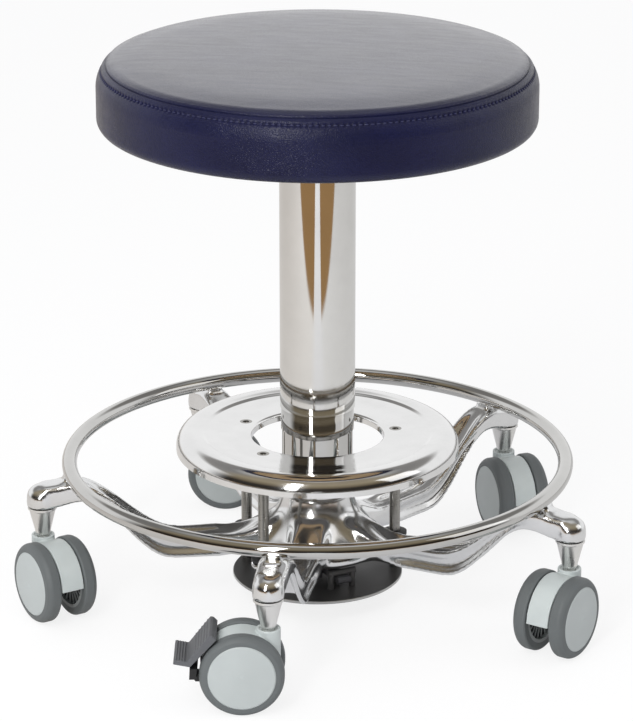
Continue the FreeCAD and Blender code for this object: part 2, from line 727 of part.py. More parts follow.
def build_base():
    arm = build_arm()
    boss = build_boss()
    saddle = build_saddle()
    ear = build_ear()
    stem_out = s.stem_circle.number / 2
    raw = doc.addObject("Part::MultiFuse", "casting_raw")
    raw.Shapes = [build_hub()]
    raw.Shapes += [link_to(arm, f"arm_{name}", turned_about_z(azimuth))
                   for name, azimuth in ARM_AZIMUTHS.items()]
    raw.Shapes += [link_to(boss, f"boss_{name}", turned_about_z(azimuth, out=stem_out))
                   for name, azimuth in ARM_AZIMUTHS.items()]
    raw.Shapes += [link_to(saddle, f"saddle_{name}", turned_about_z(azimuth))
                   for name, azimuth in ARM_AZIMUTHS.items()]
    raw.Shapes += [link_to(ear, f"ear_{azimuth:.0f}", turned_about_z(azimuth))
                   for azimuth in PILLAR_AZIMUTHS]

    ring = doc.addObject("Part::Torus", "foot_ring")
    bind(ring, "Radius1", s.stem_circle / 2 - s.ring_inset)
    bind(ring, "Radius2", s.ring_tube / 2)
    bind(ring, "Placement.Base.z", s.ring_h)
    publish("foot_ring", ring)

    stem_top = s.boss_top_h - s.boss_roof
    stem_socket = turned("stem_socket", [
        (0, s.boss_low_h - 30.0),
        (s.stem_dia / 2, s.boss_low_h - 30.0),
        (s.stem_dia / 2, stem_top),
        (0, stem_top),
    ])
    guide_dia = as_size(16.0)
    lug_top = s.lug_low_h + s.lug_thick
    guide_socket = turned("guide_socket", [
        (0, s.lug_low_h - 5.0),
        (guide_dia / 2, s.lug_low_h - 5.0),
        (guide_dia / 2, s.hub_top_h),
        (0, s.hub_top_h),
    ])
    column_bore = doc.addObject("Part::Cylinder", "column_bore")
    bind(column_bore, "Radius", s.stand_dia / 2)
    bind(column_bore, "Height", s.hub_top_h * 1.2)
    cutters = doc.addObject("Part::Compound", "casting_cutters")
    cutters.Links = [
        ring,
        column_bore,
        copies_on_circle("stem_sockets", stem_socket, s.stem_circle, ARM_AZIMUTHS.values()),
        copies_on_circle("guide_sockets", guide_socket, s.pillar_circle, PILLAR_AZIMUTHS),
    ]
    casting = doc.addObject("Part::Cut", "star_base")
    casting.Base = raw
    casting.Tool = cutters
    publish("star_base", casting)

    neck_low = s.caster_top_h + 0.4
    stem = turned("caster_stem", [
        (0, s.caster_top_h - s.stem_depth),
        (s.stem_dia / 2 - 1.0, s.caster_top_h - s.stem_depth),
        (s.stem_dia / 2, s.caster_top_h - s.stem_depth + 1.0),
        (s.stem_dia / 2, neck_low),
        (s.cone_foot_dia / 2 - 1.0, neck_low),
        (s.cone_foot_dia / 2, neck_low + 1.5),
        (s.cone_foot_dia / 2 + 0.6, neck_low + 5.0),
        (s.cone_top_dia / 2 - 1.2, s.boss_low_h - 3.0),
        (s.cone_top_dia / 2, s.boss_low_h - 2.0),
        (s.cone_top_dia / 2, s.boss_low_h),
        (s.stem_dia / 2, s.boss_low_h),
        (s.stem_dia / 2, stem_top),
        (0, stem_top),
    ])
    publish("caster_stems",
            copies_on_circle("caster_stems", stem, s.stem_circle, ARM_AZIMUTHS.values()))

    guide = turned("pillar_guide", [
        (s.pillar_dia / 2 + s.play, s.lug_low_h - 2.0),
        (guide_dia / 2, s.lug_low_h - 2.0),
        (guide_dia / 2, lug_top),
        (guide_dia / 2 + 3.5, lug_top),
        (guide_dia / 2 + 3.5, lug_top + 3.0),
        (s.pillar_dia / 2 + s.play, lug_top + 4.0),
    ])
    publish("pillar_guides",
            copies_on_circle("pillar_guides", guide, s.pillar_circle, PILLAR_AZIMUTHS))


# Foot release


def build_release():
    sheet_thick = s.disc_sheet
    hole = s.disc_hole / 2
    edge = s.disc_dia / 2
    top = s.disc_h
    lip = 2.5
    step = s.disc_step
    step_in = edge - s.disc_rim_width
    slant = step * 1.1
    crest = top + step
    rim = s.disc_rim
    disc = turned("foot_disc", [
        (hole, top - 7.0),
        (hole + sheet_thick, top - 7.0),
        (hole + sheet_thick, top - lip, as_size(lip) - sheet_thick, "right"),
        (hole + lip, top - sheet_thick),
        (step_in, top - sheet_thick),
        (step_in + slant, crest - sheet_thick),
        (edge - rim, crest - sheet_thick, rim - sheet_thick, "right"),
        (edge - sheet_thick, crest - rim),
        (edge - sheet_thick, crest - rim - s.disc_skirt),
        (edge, crest - rim - s.disc_skirt),
        (edge, crest - rim, rim, "left"),
        (edge - rim, crest),
        (step_in + slant - 0.6, crest),
        (step_in - 0.6, top),
        (hole + lip, top, lip, "left"),
        (hole, top - lip),
    ])
    round_holes(disc, top, sheet_thick, s.disc_screw_head, s.pillar_circle, PILLAR_AZIMUTHS)
    publish("foot_disc", disc)

    thread_len = 14.0
    disc_low = top - sheet_thick
    socket = s.disc_screw_head * 0.26
    screw = turned("disc_screw", [
        (0, disc_low - thread_len),
        (s.disc_screw_dia / 2, disc_low - thread_len),
        (s.disc_screw_dia / 2, disc_low),
        (s.disc_screw_head / 2, disc_low),
        (s.disc_screw_head / 2, top),
        (socket, top),
        (socket, top - sheet_thick * 0.8),
        (0, top - sheet_thick),
    ])
    publish("disc_screws",
            copies_on_circle("disc_screws", screw, s.pillar_circle, PILLAR_AZIMUTHS))

    plate_low = s.foot_plate_h - s.foot_plate_thick
    pillar = turned("pillar", [
        (0, plate_low),
        (s.pillar_foot_dia / 2, plate_low),
        (s.pillar_foot_dia / 2, s.foot_plate_h),
        (s.pillar_dia / 2, s.foot_plate_h),
        (s.pillar_dia / 2, disc_low),
        (s.disc_screw_dia / 2, disc_low),
        (s.disc_screw_dia / 2, disc_low - thread_len),
        (0, disc_low - thread_len),
    ])
    publish("release_pillars",
            copies_on_circle("release_pillars", pillar, s.pillar_circle, PILLAR_AZIMUTHS))

    plate = turned("foot_plate_disc", [
        (0, plate_low),
        (s.foot_plate_dia / 2 - 1.0, plate_low),
        (s.foot_plate_dia / 2, plate_low + 1.0),
        (s.foot_plate_dia / 2, s.foot_plate_h - 0.5),
        (s.foot_plate_dia / 2 - 0.5, s.foot_plate_h),
        (0, s.foot_plate_h),
    ])
    round_holes(plate, s.foot_plate_h, s.foot_plate_thick,
                s.pillar_foot_dia, s.pillar_circle, PILLAR_AZIMUTHS)
    staple = build_staple(plate_low)
    foot_plate = doc.addObject("Part::MultiFuse", "foot_plate")
    foot_plate.Shapes = [plate, link_to(staple, "staple_placed", turned_about_z(LEVER_AZIMUTH))]
    publish("foot_plate", foot_plate)
    build_lever()


STAPLE_WIRE = 6.0
STAPLE_HALF = 11.0


def build_staple(plate_low):
    """The wire bridge on the lower plate that pulls the lever down; it stands across +X."""
    body = new_body("staple")
    wire = as_size(STAPLE_WIRE)
    bridge = s.lever_h + s.lever_thick / 2 + 0.4 + wire / 2
    for side in (-STAPLE_HALF, STAPLE_HALF):
        leg = new_sketch(body, "XY_Plane", lift=s.foot_plate_h - 1.0)
        draw_circle(leg, s.lever_reach, side, wire / 2)
        pad(body, leg, bridge - s.foot_plate_h + 1.0)
    bar = new_sketch(body, "XZ_Plane")
    draw_circle(bar, s.lever_reach, bridge, wire / 2)
    pad(body, bar, 2 * STAPLE_HALF + wire, symmetric=True)
    return body


def build_lever():
    thick = s.lever_thick
    low = s.lever_h - thick / 2
    top = s.lever_h + thick / 2
    lever = new_body("release_lever")
    side_pad(lever, [
        (-6.0, low + 2.0),
        (-3.0, low),
        (s.lever_reach + 6.0, low),
        (s.lever_reach + 8.0, low + 2.0),
        (s.lever_reach + 8.0, top - 2.0),
        (s.lever_reach + 6.0, top),
        (-3.0, top),
        (-6.0, top - 2.0),
    ], s.lever_width)
    hub = new_sketch(lever, "XZ_Plane")
    draw_circle(hub, s.lever_pivot, s.lever_h, s.lever_pin_dia)
    pad(lever, hub, s.lever_width, symmetric=True)
    bore = new_sketch(lever, "XZ_Plane")
    draw_circle(bore, s.lever_pivot, s.lever_h, s.lever_pin_dia / 2 + s.play)
    pocket(lever, bore, s.lever_width + 4.0, symmetric=True)
    lever.Placement = turned_about_z(LEVER_AZIMUTH)
    publish("release_lever", lever)

    bracket = new_body("lever_bracket")
    cheek_gap = s.lever_width + 3.0
    cheek = 3.0
    foot = s.hub_low_h - 4.0
    side_pad(bracket, [
        (s.lever_pivot - 8.0, s.lever_h - 7.0),
        (s.lever_pivot + 8.0, s.lever_h - 7.0),
        (s.lever_pivot + 8.0, foot),
        (s.lever_pivot + 8.0, s.hub_low_h),
        (s.lever_pivot - 8.0, s.hub_low_h),
        (s.lever_pivot - 8.0, foot),
    ], cheek_gap + 2 * cheek)
    slot = new_sketch(bracket, "XZ_Plane")
    draw_outline(slot, [
        (s.lever_pivot - 20.0, s.lever_h - 12.0),
        (s.lever_pivot + 20.0, s.lever_h - 12.0),
        (s.lever_pivot + 20.0, foot),
        (s.lever_pivot - 20.0, foot),
    ])
    pocket(bracket, slot, cheek_gap, symmetric=True)
    eye = new_sketch(bracket, "XZ_Plane")
    draw_circle(eye, s.lever_pivot, s.lever_h, s.lever_pin_dia / 2)
    pocket(bracket, eye, cheek_gap + 4 * cheek, symmetric=True)
    bracket.Placement = turned_about_z(LEVER_AZIMUTH)
    publish("lever_bracket", bracket)

    pin = new_body("lever_pin")
    section = new_sketch(pin, "XZ_Plane")
    draw_circle(section, s.lever_pivot, s.lever_h, s.lever_pin_dia / 2)
    pad(pin, section, cheek_gap + 2 * cheek + 2.0, symmetric=True)
    pin.Placement = turned_about_z(LEVER_AZIMUTH)
    publish("lever_pin", pin)


# Casters: the stem on Z, the wheels behind it along +X


def build_housing():
    body = new_body("caster_housing")
    axle_x = s.caster_trail
    axle_h = s.wheel_dia / 2
    outer = s.hood_dia / 2
    inner = outer - s.hood_wall
    web = outer - s.hood_wall / 2
    side_pad(body, [
        (axle_x + outer, axle_h, outer, "left"),
        (axle_x - outer * DIAGONAL, axle_h + outer * DIAGONAL),
        (axle_x - inner * DIAGONAL, axle_h + inner * DIAGONAL, inner, "right"),
        (axle_x + inner, axle_h),
    ], s.hood_width)
    side_pad(body, [
        (axle_x + web, axle_h, web, "left"),
        (axle_x - web * DIAGONAL, axle_h + web * DIAGONAL),
        (axle_x - 12.0, axle_h - 2.0),
        (axle_x + 9.0, axle_h - 4.0),
    ], 6.0)
    boss = new_sketch(body, "XZ_Plane")
    draw_circle(boss, axle_x, axle_h, 9.0)
    pad(body, boss, s.hood_width, symmetric=True)
    collar_low = s.caster_top_h - s.stem_depth - 10.0
    collar = new_sketch(body, "XY_Plane", lift=collar_low)
    draw_circle(collar, 0, 0, s.caster_collar_dia / 2)
    pad(body, collar, s.caster_top_h - collar_low)
    bore = new_sketch(body, "XY_Plane", lift=s.caster_top_h)
    draw_circle(bore, 0, 0, s.stem_dia / 2 + s.play)
    pocket(body, bore, s.stem_depth + 4.0)
    recess = new_sketch(body, "XY_Plane", lift=s.caster_top_h)
    draw_circle(recess, 0, 0, s.cone_foot_dia / 2 + 1.2)
    pocket(body, recess, 1.5)
    for x, h, dia in (
        (axle_x, axle_h, s.axle_dia),
        (axle_x + s.brake_pin_out, axle_h + s.brake_pin_up, s.brake_pin_dia),
    ):
        hole = new_sketch(body, "XZ_Plane")
        draw_circle(hole, x, h, dia / 2)
        pocket(body, hole, s.hood_width + 10.0, symmetric=True)
    return body


def build_wheel_core():
    """A wheel core with its axis on Z, the inner face at 0 and the closed face outside."""
    width = s.wheel_width
    rim = s.cap_dia / 2
    bore = s.axle_dia / 2 + s.play
    body = turned("wheel_core", [
        (0, width - 3.2),
        (bore, width - 3.2),
        (bore, 0),
        (9.0, 0),
        (9.0, width - 4.0),
        (rim - 3.0, width - 4.0),
        (rim - 3.0, 0.5),
        (rim, 0.5),
        (rim, width - 0.8),
        (rim - 1.2, width - 0.1, dome_radius(rim - 1.2, as_size(1.0)), "left"),
        (0, width + 0.9),
    ])
    rib_low = 3.0
    rib = new_sketch(body, "XY_Plane", lift=as_size(rib_low))
    draw_outline(rib, [
        (8.0, -0.6),
        (rim - 2.0, -0.6),
        (rim - 2.0, 0.6),
        (8.0, 0.6),
    ])
    first = pad(body, rib, width - 3.5 - rib_low)
    pattern = body.newObject("PartDesign::PolarPattern", "ribs")
    pattern.Originals = [first]
    pattern.Axis = (rib, ["N_Axis"])
    pattern.Angle = 360
    pattern.Occurrences = WHEEL_RIBS
    body.Tip = pattern
    return body


def build_tread():
    width = s.wheel_width
    rim = s.cap_dia / 2
    tread = s.wheel_dia / 2
    return turned("wheel_tread", [
        (rim, 0.5),
        (tread - 2.0, 0.5, 2.2, "left"),
        (tread, 2.5),
        (tread, width - 6.0, 7.5, "left"),
        (tread - 3.8, width - 0.9),
        (rim, width - 0.4),
    ])


def build_brake():
    """Pedal and shoe of the one caster that has a brake, in the caster's own frame."""
    axle_x = s.caster_trail
    axle_h = s.wheel_dia / 2

    def near_axle(places):
        return [(axle_x + place[0], axle_h + place[1], *place[2:]) for place in places]

    shoe = new_body("brake_shoe")
    shoe_radius = s.wheel_dia / 2 + 2.1
    side_pad(shoe, near_axle([
        (39.49, -3.0, shoe_radius, "left"),
        (38.98, 7.0),
        (45.5, 7.0),
        (46.0, -3.0),
    ]), s.pedal_width)
    side_pad(shoe, near_axle([
        (24.5, 9.5),
        (24.5, 1.0),
        (28.0, -11.0),
        (41.0, -11.0),
        (46.0, -4.0),
        (46.0, 8.0),
        (45.07, 8.64),
        (40.37, 13.83),
        (38.9, 12.4),
        (41.8, 7.0),
        (42.0, -3.0),
        (39.5, -6.0),
        (32.0, -6.0),
        (31.3, -1.0),
        (31.3, 6.0),
        (29.0, 9.5),
    ]), 16.0)
    slot = new_sketch(shoe, "XZ_Plane")
    draw_outline(slot, near_axle([(20.0, -14.0), (37.0, -14.0), (37.0, 14.0), (20.0, 14.0)]))
    pocket(shoe, slot, 8.0, symmetric=True)
    eye = new_sketch(shoe, "XZ_Plane")
    draw_circle(eye, axle_x + s.brake_pin_out, axle_h + s.brake_pin_up, s.brake_pin_dia / 2 + s.play)
    pocket(shoe, eye, 30.0, symmetric=True)

    pedal = new_body("brake_pedal")
    side_pad(pedal, near_axle([
        (28.3, 38.2),
        (25.6, 38.0),
        (21.87, 34.25),
        (45.07, 8.64),
        (59.9, 11.4),
        (59.2, 15.6),
        (47.6, 13.4),
    ]), s.pedal_width)
    rows = new_sketch(pedal, "XZ_Plane")
    wings = (
        ((28.3, 38.2), (47.6, 13.4), (0.12, 0.25, 0.38, 0.51, 0.64)),
        ((47.6, 13.4), (59.2, 15.6), (0.24, 0.44, 0.64, 0.84)),
    )
    for start, end, shares in wings:
        length = math.hypot(end[0] - start[0], end[1] - start[1])
        along = ((end[0] - start[0]) / length, (end[1] - start[1]) / length)
        up = (-along[1], along[0])
        for share in shares:
            mid = (start[0] + along[0] * share * length, start[1] + along[1] * share * length)
            corners = [(-0.7, -0.6), (0.7, -0.6), (0.45, 0.8), (-0.45, 0.8)]
            draw_outline(rows, near_axle([
                (mid[0] + along[0] * a + up[0] * u, mid[1] + along[1] * a + up[1] * u) for a, u in corners
            ]))
    pad(pedal, rows, s.pedal_width - 2.0, symmetric=True)

    pin = new_body("brake_pin")
    section = new_sketch(pin, "XZ_Plane")
    draw_circle(section, axle_x + s.brake_pin_out, axle_h + s.brake_pin_up, s.brake_pin_dia / 2)
    pad(pin, section, 18.0, symmetric=True)
    return {"brake_pedal": pedal, "brake_shoe": shoe, "brake_pin": pin}


def build_casters():
    housing = build_housing()
    core = build_wheel_core()
    tread = build_tread()
    axle = new_body("wheel_axle")
    section = new_sketch(axle, "XZ_Plane")
    draw_circle(section, s.caster_trail, s.wheel_dia / 2, s.axle_dia / 2)
    inner_face = s.hood_width / 2 + s.wheel_gap
    pad(axle, section, 2 * (inner_face + s.wheel_width - 4.0), symmetric=True)
    brake = build_brake()

    face_out = inner_face.number
    wheel_mid = (s.caster_trail.number, s.wheel_dia.number / 2)
    wheel_places = {}
    for wheel, side in (("wheel_1", 1.0), ("wheel_2", -1.0)):
        tip = FreeCAD.Rotation(FreeCAD.Vector(1, 0, 0), -90.0 * side)
        middle = FreeCAD.Vector(wheel_mid[0], side * face_out, wheel_mid[1])
        wheel_places[wheel] = FreeCAD.Placement(middle, tip)
    for name, azimuth in ARM_AZIMUTHS.items():
        stem = turned_about_z(azimuth, out=s.stem_circle.number / 2).Base
        spin = FreeCAD.Rotation(FreeCAD.Vector(0, 0, 1), CASTER_YAWS[name])
        place = FreeCAD.Placement(stem, spin)
        publish(f"caster_{name}_housing", link_to(housing, f"housing_{name}", place))
        publish(f"caster_{name}_axle", link_to(axle, f"axle_{name}", place))
        for wheel, wheel_place in wheel_places.items():
            label = f"caster_{name}_{wheel}"
            publish(f"{label}_core", link_to(core, f"core_{name}_{wheel}", place * wheel_place))
            publish(f"{label}_tread", link_to(tread, f"tread_{name}_{wheel}", place * wheel_place))
        if name == "front":
            for label, piece in brake.items():
                publish(label, link_to(piece, f"{label}_placed", place))


def check_and_export():
    doc.recompute()
    for thing in doc.Objects:
        if "Invalid" in thing.State or "Error" in thing.State:
            raise RuntimeError(f"{thing.Name} ({thing.Label}): {thing.State}")
    os.makedirs("parts", exist_ok=True)
    for label, thing in nodes.items():
        shape = thing.Shape
        if shape.isNull() or not shape.isValid() or not shape.Solids:
            raise RuntimeError(f"{label}: no valid solid")
        shape.exportStep(f"parts/{label}.step")


seat_plate_low = build_seat()
build_column(seat_plate_low)
build_base()
build_release()
build_casters()
check_and_export()
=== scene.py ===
"""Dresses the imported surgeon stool: padded seat, polished metal, casters and a plain studio."""

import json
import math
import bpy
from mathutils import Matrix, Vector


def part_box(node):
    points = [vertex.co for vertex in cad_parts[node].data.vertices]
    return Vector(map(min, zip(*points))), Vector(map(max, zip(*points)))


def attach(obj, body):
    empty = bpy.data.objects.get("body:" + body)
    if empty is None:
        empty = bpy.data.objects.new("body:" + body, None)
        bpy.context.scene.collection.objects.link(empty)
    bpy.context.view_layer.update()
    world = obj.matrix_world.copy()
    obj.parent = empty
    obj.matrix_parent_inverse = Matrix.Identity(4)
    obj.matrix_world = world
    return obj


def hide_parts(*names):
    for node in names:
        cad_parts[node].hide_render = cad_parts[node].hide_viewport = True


bl_info = {
    "name": "Surgeon stool dressing",
    "version": (1, 0, 0),
    "blender": (4, 5, 0),
    "location": "View3D > Sidebar > Stool",
    "description": "Padded seat, polished metal, casters and a plain studio for the packed stool",
    "category": "Object",
}

import bmesh
import bpy
import numpy as np
from bpy.props import FloatProperty, FloatVectorProperty, IntProperty, PointerProperty
from mathutils import Vector

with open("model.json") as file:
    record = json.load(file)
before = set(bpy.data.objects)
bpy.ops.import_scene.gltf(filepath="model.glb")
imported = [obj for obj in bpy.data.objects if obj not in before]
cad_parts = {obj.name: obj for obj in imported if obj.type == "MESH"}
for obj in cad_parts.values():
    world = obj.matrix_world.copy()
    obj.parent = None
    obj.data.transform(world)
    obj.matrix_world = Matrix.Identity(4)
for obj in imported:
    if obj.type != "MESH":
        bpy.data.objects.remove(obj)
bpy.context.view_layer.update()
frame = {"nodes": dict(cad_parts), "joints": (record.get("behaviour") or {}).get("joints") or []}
cad_nodes = frame["nodes"]

MM = 0.001
CASTERS = ("front", "right", "rear_right", "rear_left", "left")
CORNERS = ((-1, -1), (1, -1), (1, 1), (-1, 1))


# Settings


def setting(make, **options):
    """A kind of setting, to be called with a name, a description and a default."""
    def build(name, description, default):
        return make(name=name, description=description, default=default, **options)
    return build


colour = setting(FloatVectorProperty, subtype="COLOR", size=3, min=0.0, max=1.0)
place_of = setting(FloatVectorProperty, subtype="TRANSLATION", unit="LENGTH", size=3)
length = setting(FloatProperty, subtype="DISTANCE", unit="LENGTH")
watts = setting(FloatProperty, unit="POWER")
amount = setting(FloatProperty)
how_many = setting(IntProperty, min=3)


class StoolSeatSettings(bpy.types.PropertyGroup):
    cover_colour: colour("Cover", "Colour of the leatherette", (0.0085, 0.0098, 0.042))
    thread_colour: colour("Thread", "Colour of the sewing thread", (0.03, 0.032, 0.09))
    grain_size: length("Grain", "Width of one pebble of the leatherette", 1.9 * MM)
    swell: length("Swell", "How far the padding may press the cover out", 2.2 * MM)
    stitch_count: how_many("Stitches", "Stitches in one turn of the seam", 230)
    stitch_drop: length("Stitch drop", "From the seam down to the row of stitches", 7.0 * MM)
    staple_count: how_many("Staples", "Staples that hold the cover under the board", 60)


class StoolFinishSettings(bpy.types.PropertyGroup):
    chrome_colour: colour("Chrome", "Chrome sleeves and foot ring", (0.74, 0.735, 0.72))
    casting_colour: colour("Casting", "Polished aluminium base", (0.76, 0.765, 0.77))
    disc_colour: colour("Foot disc", "Polished steel foot disc", (0.79, 0.79, 0.79))
    steel_colour: colour("Pillars", "Satin steel pillars", (0.36, 0.35, 0.33))
    plate_colour: colour("Lower plate", "Charcoal lower plate", (0.036, 0.035, 0.034))
    tread_colour: colour("Treads", "Soft grey treads", (0.12, 0.132, 0.134))
    cap_colour: colour("Wheel faces", "Pale wheel faces", (0.45, 0.485, 0.48))
    hood_colour: colour("Hoods", "Pale caster hoods", (0.53, 0.575, 0.565))
    pedal_colour: colour("Pedal", "Dark grey brake pedal", (0.105, 0.109, 0.117))
    black_colour: colour("Black", "Black plastic", (0.012, 0.012, 0.013))
    # The wheel web colour is painted shade for the recess between the ribs.
    web_shade_colour: colour("Wheel webs", "Ribbed inner side of the wheels", (0.04, 0.042, 0.042))


class StoolStageSettings(bpy.types.PropertyGroup):
    camera_place: place_of("Camera", "Place of the camera", (0.5044, -3.0015, 1.2989))
    camera_target: place_of("Aim", "Point the camera looks at", (0.0, 0.0, 0.2321))
    camera_lens: amount("Lens", "Focal length in millimetres", 173.65)
    camera_shift: amount("Shift", "Sideways shift of the lens", -0.0014)
    floor_colour: colour("Floor", "Pale floor", (0.82, 0.82, 0.82))
    key_power: watts("Key", "Power of the large soft lamp", 12.0)
    fill_power: watts("Fill", "Power of the side lamp", 6.0)
    glint_power: watts("Glint", "Power of the tall front lamp", 24.0)


# Node trees


def set_all(target, **values):
    """Set several options of a node, a modifier or a lamp."""
    for name, value in values.items():
        setattr(target, name, value)
    return target


def feed(socket, value):
    """Link a socket to another one, or set its value."""
    if isinstance(value, bpy.types.NodeSocket):
        socket.id_data.links.new(value, socket)
    else:
        socket.default_value = value


def put(tree, kind, inputs=None, **settings):
    """Add a node, set its options, and set or link its inputs by name or number."""
    node = set_all(tree.nodes.new(kind), **settings)
    for name, value in (inputs or {}).items():
        feed(node.inputs[name], value)
    return node


def new_material(name):
    """An empty material, and the place in space that its patterns read."""
    material = bpy.data.materials.new(name)
    material.use_nodes = True
    tree = material.node_tree
    tree.nodes.clear()
    return material, put(tree, "ShaderNodeTexCoord").outputs["Object"]


def noise(place, scale, detail=2.0, rough=0.5):
    """A cloudy pattern; the scale is in clouds to the metre."""
    return put(place.id_data, "ShaderNodeTexNoise", {
        "Vector": place, "Scale": scale, "Detail": detail, "Roughness": rough,
    }).outputs["Fac"]


def remap(value, low, high, to_low=0.0, to_high=1.0, smooth=False):
    """Spread a value from one range over another, and stop at its ends."""
    kind = "SMOOTHSTEP" if smooth else "LINEAR"
    return put(value.id_data, "ShaderNodeMapRange", {
        "Value": value, "From Min": low, "From Max": high, "To Min": to_low, "To Max": to_high,
    }, interpolation_type=kind).outputs["Result"]


def vary(pattern, low=0.0, high=1.0):
    """Spread the middle of a noise pattern from one value to another."""
    return remap(pattern, 0.3, 0.7, low, high)


def math_node(operation, first, second=0.0):
    node = put(first.id_data, "ShaderNodeMath", {0: first, 1: second}, operation=operation)
    return node.outputs["Value"]


def vector_math(operation, first, second, output="Vector"):
    node = put(first.id_data, "ShaderNodeVectorMath", {0: first, 1: second}, operation=operation)
    return node.outputs[output]


def dot(vector, direction):
    """How far a vector goes in a direction."""
    return vector_math("DOT_PRODUCT", vector, direction, "Value")


def upward(vector):
    """The height of a place, or how far a direction points up."""
    return put(vector.id_data, "ShaderNodeSeparateXYZ", {"Vector": vector}).outputs["Z"]


def drawn_out(place, scale):
    """Places that draw a pattern out along the axes with a small scale."""
    return vector_math("MULTIPLY", place, scale)


def blend(factor, first, second):
    """A mix of two colours; each is a socket or three numbers."""
    node = put(factor.id_data, "ShaderNodeMix", data_type="RGBA")
    for name, value in (("Factor", factor), ("A", first), ("B", second)):
        if name != "Factor" and not isinstance(value, bpy.types.NodeSocket):
            value = (*value, 1.0)
        feed(next(s for s in node.inputs if s.name == name and s.enabled), value)
    return next(s for s in node.outputs if s.name == "Result" and s.enabled)


def mottled(pattern, rgb, low, high):
    """A colour that a noise pattern makes darker and lighter."""
    return blend(vary(pattern), scaled(rgb, low), scaled(rgb, high))


def ramp(value, stops):
    """A colour that runs through (position, colour) stops."""
    node = put(value.id_data, "ShaderNodeValToRGB", {"Fac": value})
    marks = node.color_ramp.elements
    for index, (position, rgb) in enumerate(stops):
        mark = marks[index] if index < 2 else marks.new(position)
        mark.position = position
        mark.color = (*rgb, 1.0)
    return node.outputs["Color"]


def scaled(rgb, factor):
    return tuple(min(channel * factor, 1.0) for channel in rgb)


def bump(height, strength, distance, below=None):
    """Surface relief from a pattern, on top of the relief below it."""
    inputs = {"Height": height, "Strength": strength, "Distance": distance}
    if below is not None:
        inputs["Normal"] = below
    return put(height.id_data, "ShaderNodeBump", inputs).outputs["Normal"]


def finish(material, inputs):
    """Close a material with one surface shader."""
    tree = material.node_tree
    shader = put(tree, "ShaderNodeBsdfPrincipled", inputs)
    put(tree, "ShaderNodeOutputMaterial", {"Surface": shader.outputs["BSDF"]})
    return material


# Finishes


def leatherette(rgb, grain_size):
    """Navy leatherette: pebble grain with painted shade in the cracks between the pebbles, faint creases and
    a sheen that is strongest on top.
    """
    material, place = new_material("navy_leatherette")
    cells = put(material.node_tree, "ShaderNodeTexVoronoi", {
        "Vector": place, "Scale": 1.0 / grain_size, "Randomness": 0.9,
    }, feature="DISTANCE_TO_EDGE").outputs["Distance"]
    pebbles = remap(cells, 0.0, 0.28, smooth=True)
    creases = noise(drawn_out(place, (0.22, 1.0, 1.0)), 120.0, detail=5.0, rough=0.6)
    waves = noise(place, 22.0)
    tone = mottled(waves, rgb, 0.86, 1.16)
    # The cracks between the pebbles are painted darker: painted shade.
    pit_shade_tone = blend(remap(pebbles, 0.0, 0.5, 0.45, 0.0), tone, scaled(rgb, 0.4))
    pit_gloss = remap(pebbles, 0.0, 1.0, 0.08, 0.0)
    gloss = math_node("ADD", vary(creases, 0.26, 0.36), pit_gloss)
    swells = bump(waves, 0.15, 0.4 * MM)
    folds = bump(creases, 0.42, 0.22 * MM, below=swells)
    on_top = remap(upward(place), SEAM[1], SHOULDER[1] - 1.0 * MM, smooth=True)

    def side_to_top(side, top):
        return remap(on_top, 0.0, 1.0, side, top)

    grain = bump(pebbles, side_to_top(0.45, 0.2), 0.25 * MM, below=folds)
    return finish(material, {
        "Base Color": pit_shade_tone,
        "Roughness": gloss,
        "IOR": side_to_top(1.25, 1.45),
        "Specular Tint": (0.92, 0.93, 1.0, 1.0),
        "Normal": grain,
        "Coat Weight": side_to_top(0.35, 1.0),
        "Coat Roughness": 0.26,
        "Coat IOR": 1.46,
        "Coat Normal": grain,
    })


def polished(name, rgb, rough, wave, depth=0.02, smear=0.03, under_shade_rgb=None):
    """Bright metal with faint waves, in millimetres; given an under-shade colour, faces that point down get
    that colour as painted shade, and are rougher.
    """
    material, place = new_material(name)
    smears = noise(place, 34.0, detail=4.0, rough=0.6)
    waves = noise(place, 1.0 / (wave * MM), detail=1.0)
    tone = blend(remap(smears, 0.35, 0.75), rgb, scaled(rgb, 0.94))
    gloss = remap(smears, 0.3, 0.75, rough, rough + smear)
    if under_shade_rgb:
        facing = put(material.node_tree, "ShaderNodeNewGeometry").outputs["Normal"]
        under = remap(upward(facing), -0.9, -0.6, 1.0, 0.0)
        # Faces that point down are painted the darker under-shade colour: painted shade.
        tone = blend(under, tone, under_shade_rgb)
        gloss = math_node("ADD", gloss, math_node("MULTIPLY", under, 0.3))
    return finish(material, {
        "Base Color": tone,
        "Metallic": 1.0,
        "Roughness": gloss,
        "Normal": bump(waves, 0.5, depth * MM),
    })


def satin_steel(rgb):
    """Satin steel with fine turning marks round an upright axis."""
    material, place = new_material("satin_steel")
    line = 0.6 * MM
    lines = noise(drawn_out(place, (0.06, 0.06, 1.0)), 1.0 / line)
    clouds = noise(place, 40.0, detail=3.0)
    return finish(material, {
        "Base Color": mottled(clouds, rgb, 0.9, 1.08),
        "Metallic": 1.0,
        "Roughness": vary(lines, 0.25, 0.38),
        "Normal": bump(lines, 0.2, 0.02 * MM),
    })


def moulded(name, rgb, rough, texture, depth=0.02):
    """Moulded plastic or rubber: a fine skin texture, in millimetres, and slight changes of tone."""
    material, place = new_material(name)
    skin = noise(place, 1.0 / (texture * MM))
    clouds = noise(place, 28.0, detail=3.0)
    return finish(material, {
        "Base Color": mottled(clouds, rgb, 0.94, 1.05),
        "Roughness": vary(clouds, rough - 0.03, rough + 0.05),
        "Normal": bump(skin, 0.3, depth * MM),
    })


